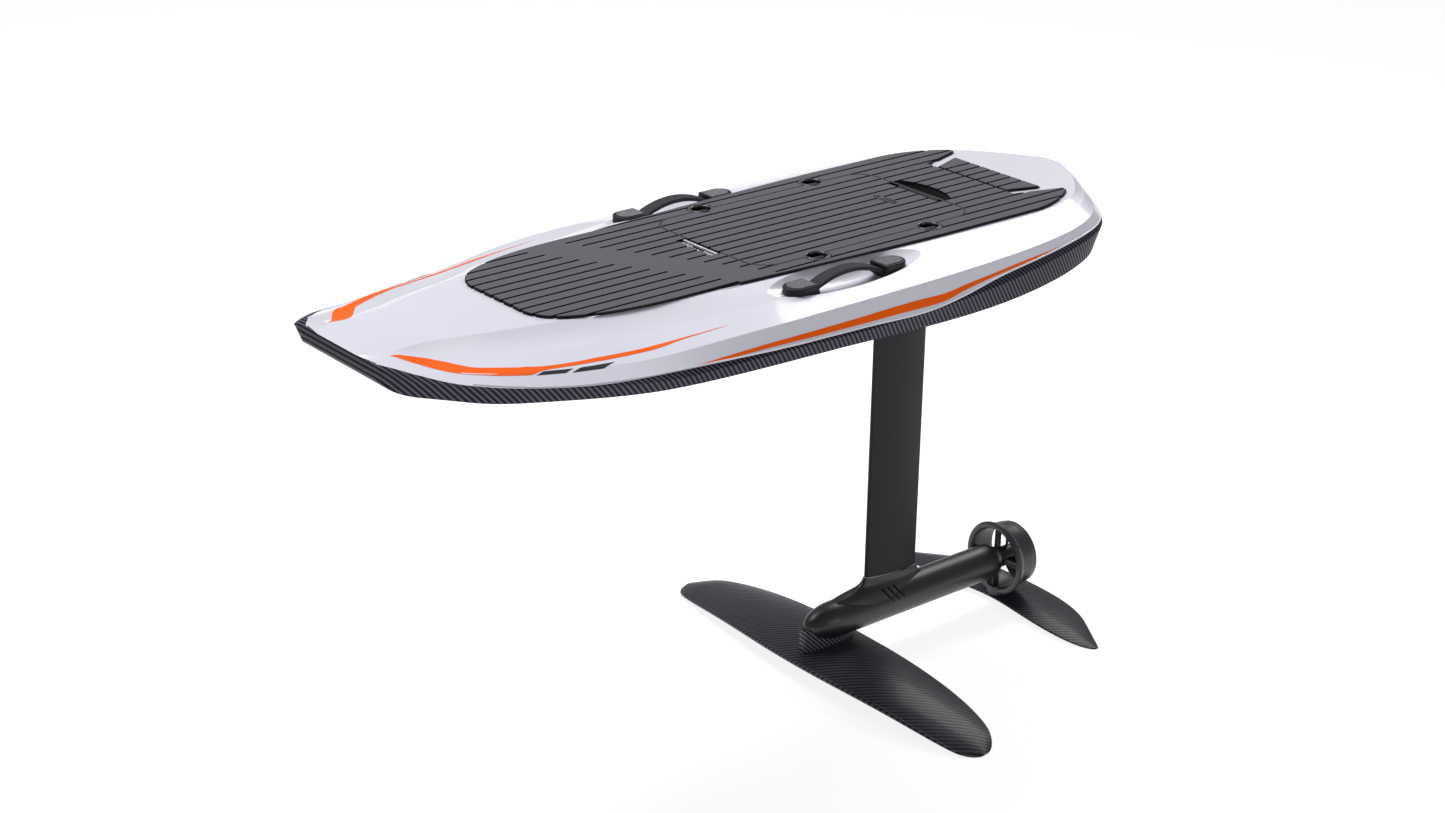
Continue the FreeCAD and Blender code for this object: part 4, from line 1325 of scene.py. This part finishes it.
def shell_tree(frame: dict) -> BVHTree:
    """The deck's and hull's surfaces as one search tree.

    Args:
        frame: the loaded frame.

    Returns:
        The tree.
    """
    work = bmesh.new()
    for node in ("deck_shell", "hull_bottom"):
        work.from_mesh(frame["nodes"][node].data)
    tree = BVHTree.FromBMesh(work)
    work.free()
    return tree


@dataclass(frozen=True)
class BoardTrim:
    """What is laid on the board and its hatch: stripes, handle details, rims and edge strips."""

    latch_front: float = -0.057
    latch_rear: float = -0.345
    latch_line: float = 0.173
    hatch_front: float = 0.076
    hatch_rear: float = -0.478
    hatch_side: float = 0.166

    def build(self, shells: Shells, paints: Paints) -> list[bpy.types.Object]:
        """Make every piece of the trim.

        Args:
            shells: the surfaces that stripes are laid on.
            paints: the materials.

        Returns:
            The pieces.
        """
        pieces = []
        for side in PORT_AND_STARBOARD:
            for marking in (FRONT_STRIPE, REAR_STRIPE, *SLATE_PATCHES, EdgeLip()):
                pieces.append(marking.build(shells, side, paints))
            pieces += self._handle(side, paints)
        return pieces + self._latches(paints) + self._hatch_edges(paints)

    def _handle(self, side: int, paints: Paints) -> list[bpy.types.Object]:
        """Make the caps, patches and screws on the feet of one handle.

        Args:
            side: 1 for port and -1 for starboard.
            paints: the materials.

        Returns:
            The pieces.
        """
        pieces = []
        for outwards in FRONT_AND_REAR:
            pieces.append(FOOT_CAP.build(outwards, side, paints))
            pieces.append(FOOT_PATCH.build(outwards, side, paints))
            pieces += FootScrews().build(outwards, side, paints)
        return pieces

    def _latches(self, paints: Paints) -> list[bpy.types.Object]:
        """Make the rims of the four latches.

        Args:
            paints: the materials.

        Returns:
            The rims.
        """
        rims = []
        for outwards, along in zip(FRONT_AND_REAR, (self.latch_front, self.latch_rear)):
            for side in PORT_AND_STARBOARD:
                name = f"latch_rim_{end_word(outwards)}_{side_word(side)}"
                rims.append(LatchRim(name, (along, side * self.latch_line)).build(paints))
        return rims

    def _hatch_edges(self, paints: Paints) -> list[bpy.types.Object]:
        """Make the strips round the hatch's corners and the rim of the key slot.

        Args:
            paints: the materials.

        Returns:
            The strips and the rim.
        """
        edges = []
        for outwards, along in zip(FRONT_AND_REAR, (self.hatch_front, self.hatch_rear)):
            for side in PORT_AND_STARBOARD:
                name = f"hatch_seal_{end_word(outwards)}_{side_word(side)}"
                corner = (along, side * self.hatch_side)
                edges.append(HatchSeal(name, corner, (outwards, side)).build(paints))
        return [*edges, KeyRim().build(paints)]


@dataclass(frozen=True)
class FoilTrim:
    """What is laid on the mast and pod: the mast's seal, pale to paint the joint's highlight, and the small
    screws.
    """

    duct_screws: int = 4
    duct_step: int = 90

    def build(self, paints: Paints) -> list[bpy.types.Object]:
        """Make every piece of the trim.

        Args:
            paints: the materials.

        Returns:
            The pieces.
        """
        pieces = [MastSeal().build(paints)]
        for index in range(self.duct_screws):
            angle = math.radians(DUCT_SCREW.lean + self.duct_step * index)
            pieces.append(DUCT_SCREW.build(str(index + 1), angle, paints))
        for side in PORT_AND_STARBOARD:
            angle = side * math.radians(POD_SCREW.lean)
            pieces.append(POD_SCREW.build(side_word(side), angle, paints))
        return pieces


def main() -> None:
    """Build the look in order."""
    logging.basicConfig(level=logging.INFO, format="%(message)s")
    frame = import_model()
    paints = Paints()
    paint_nodes(frame, paints)
    shells = Shells(shell_tree(frame))
    for piece in BoardTrim().build(shells, paints) + FoilTrim().build(paints):
        log.info("%s in %s", piece.name, piece.data.materials[0].name)
    PhotoCamera().build()
    Studio().build()


if __name__ == "__main__":
    main()
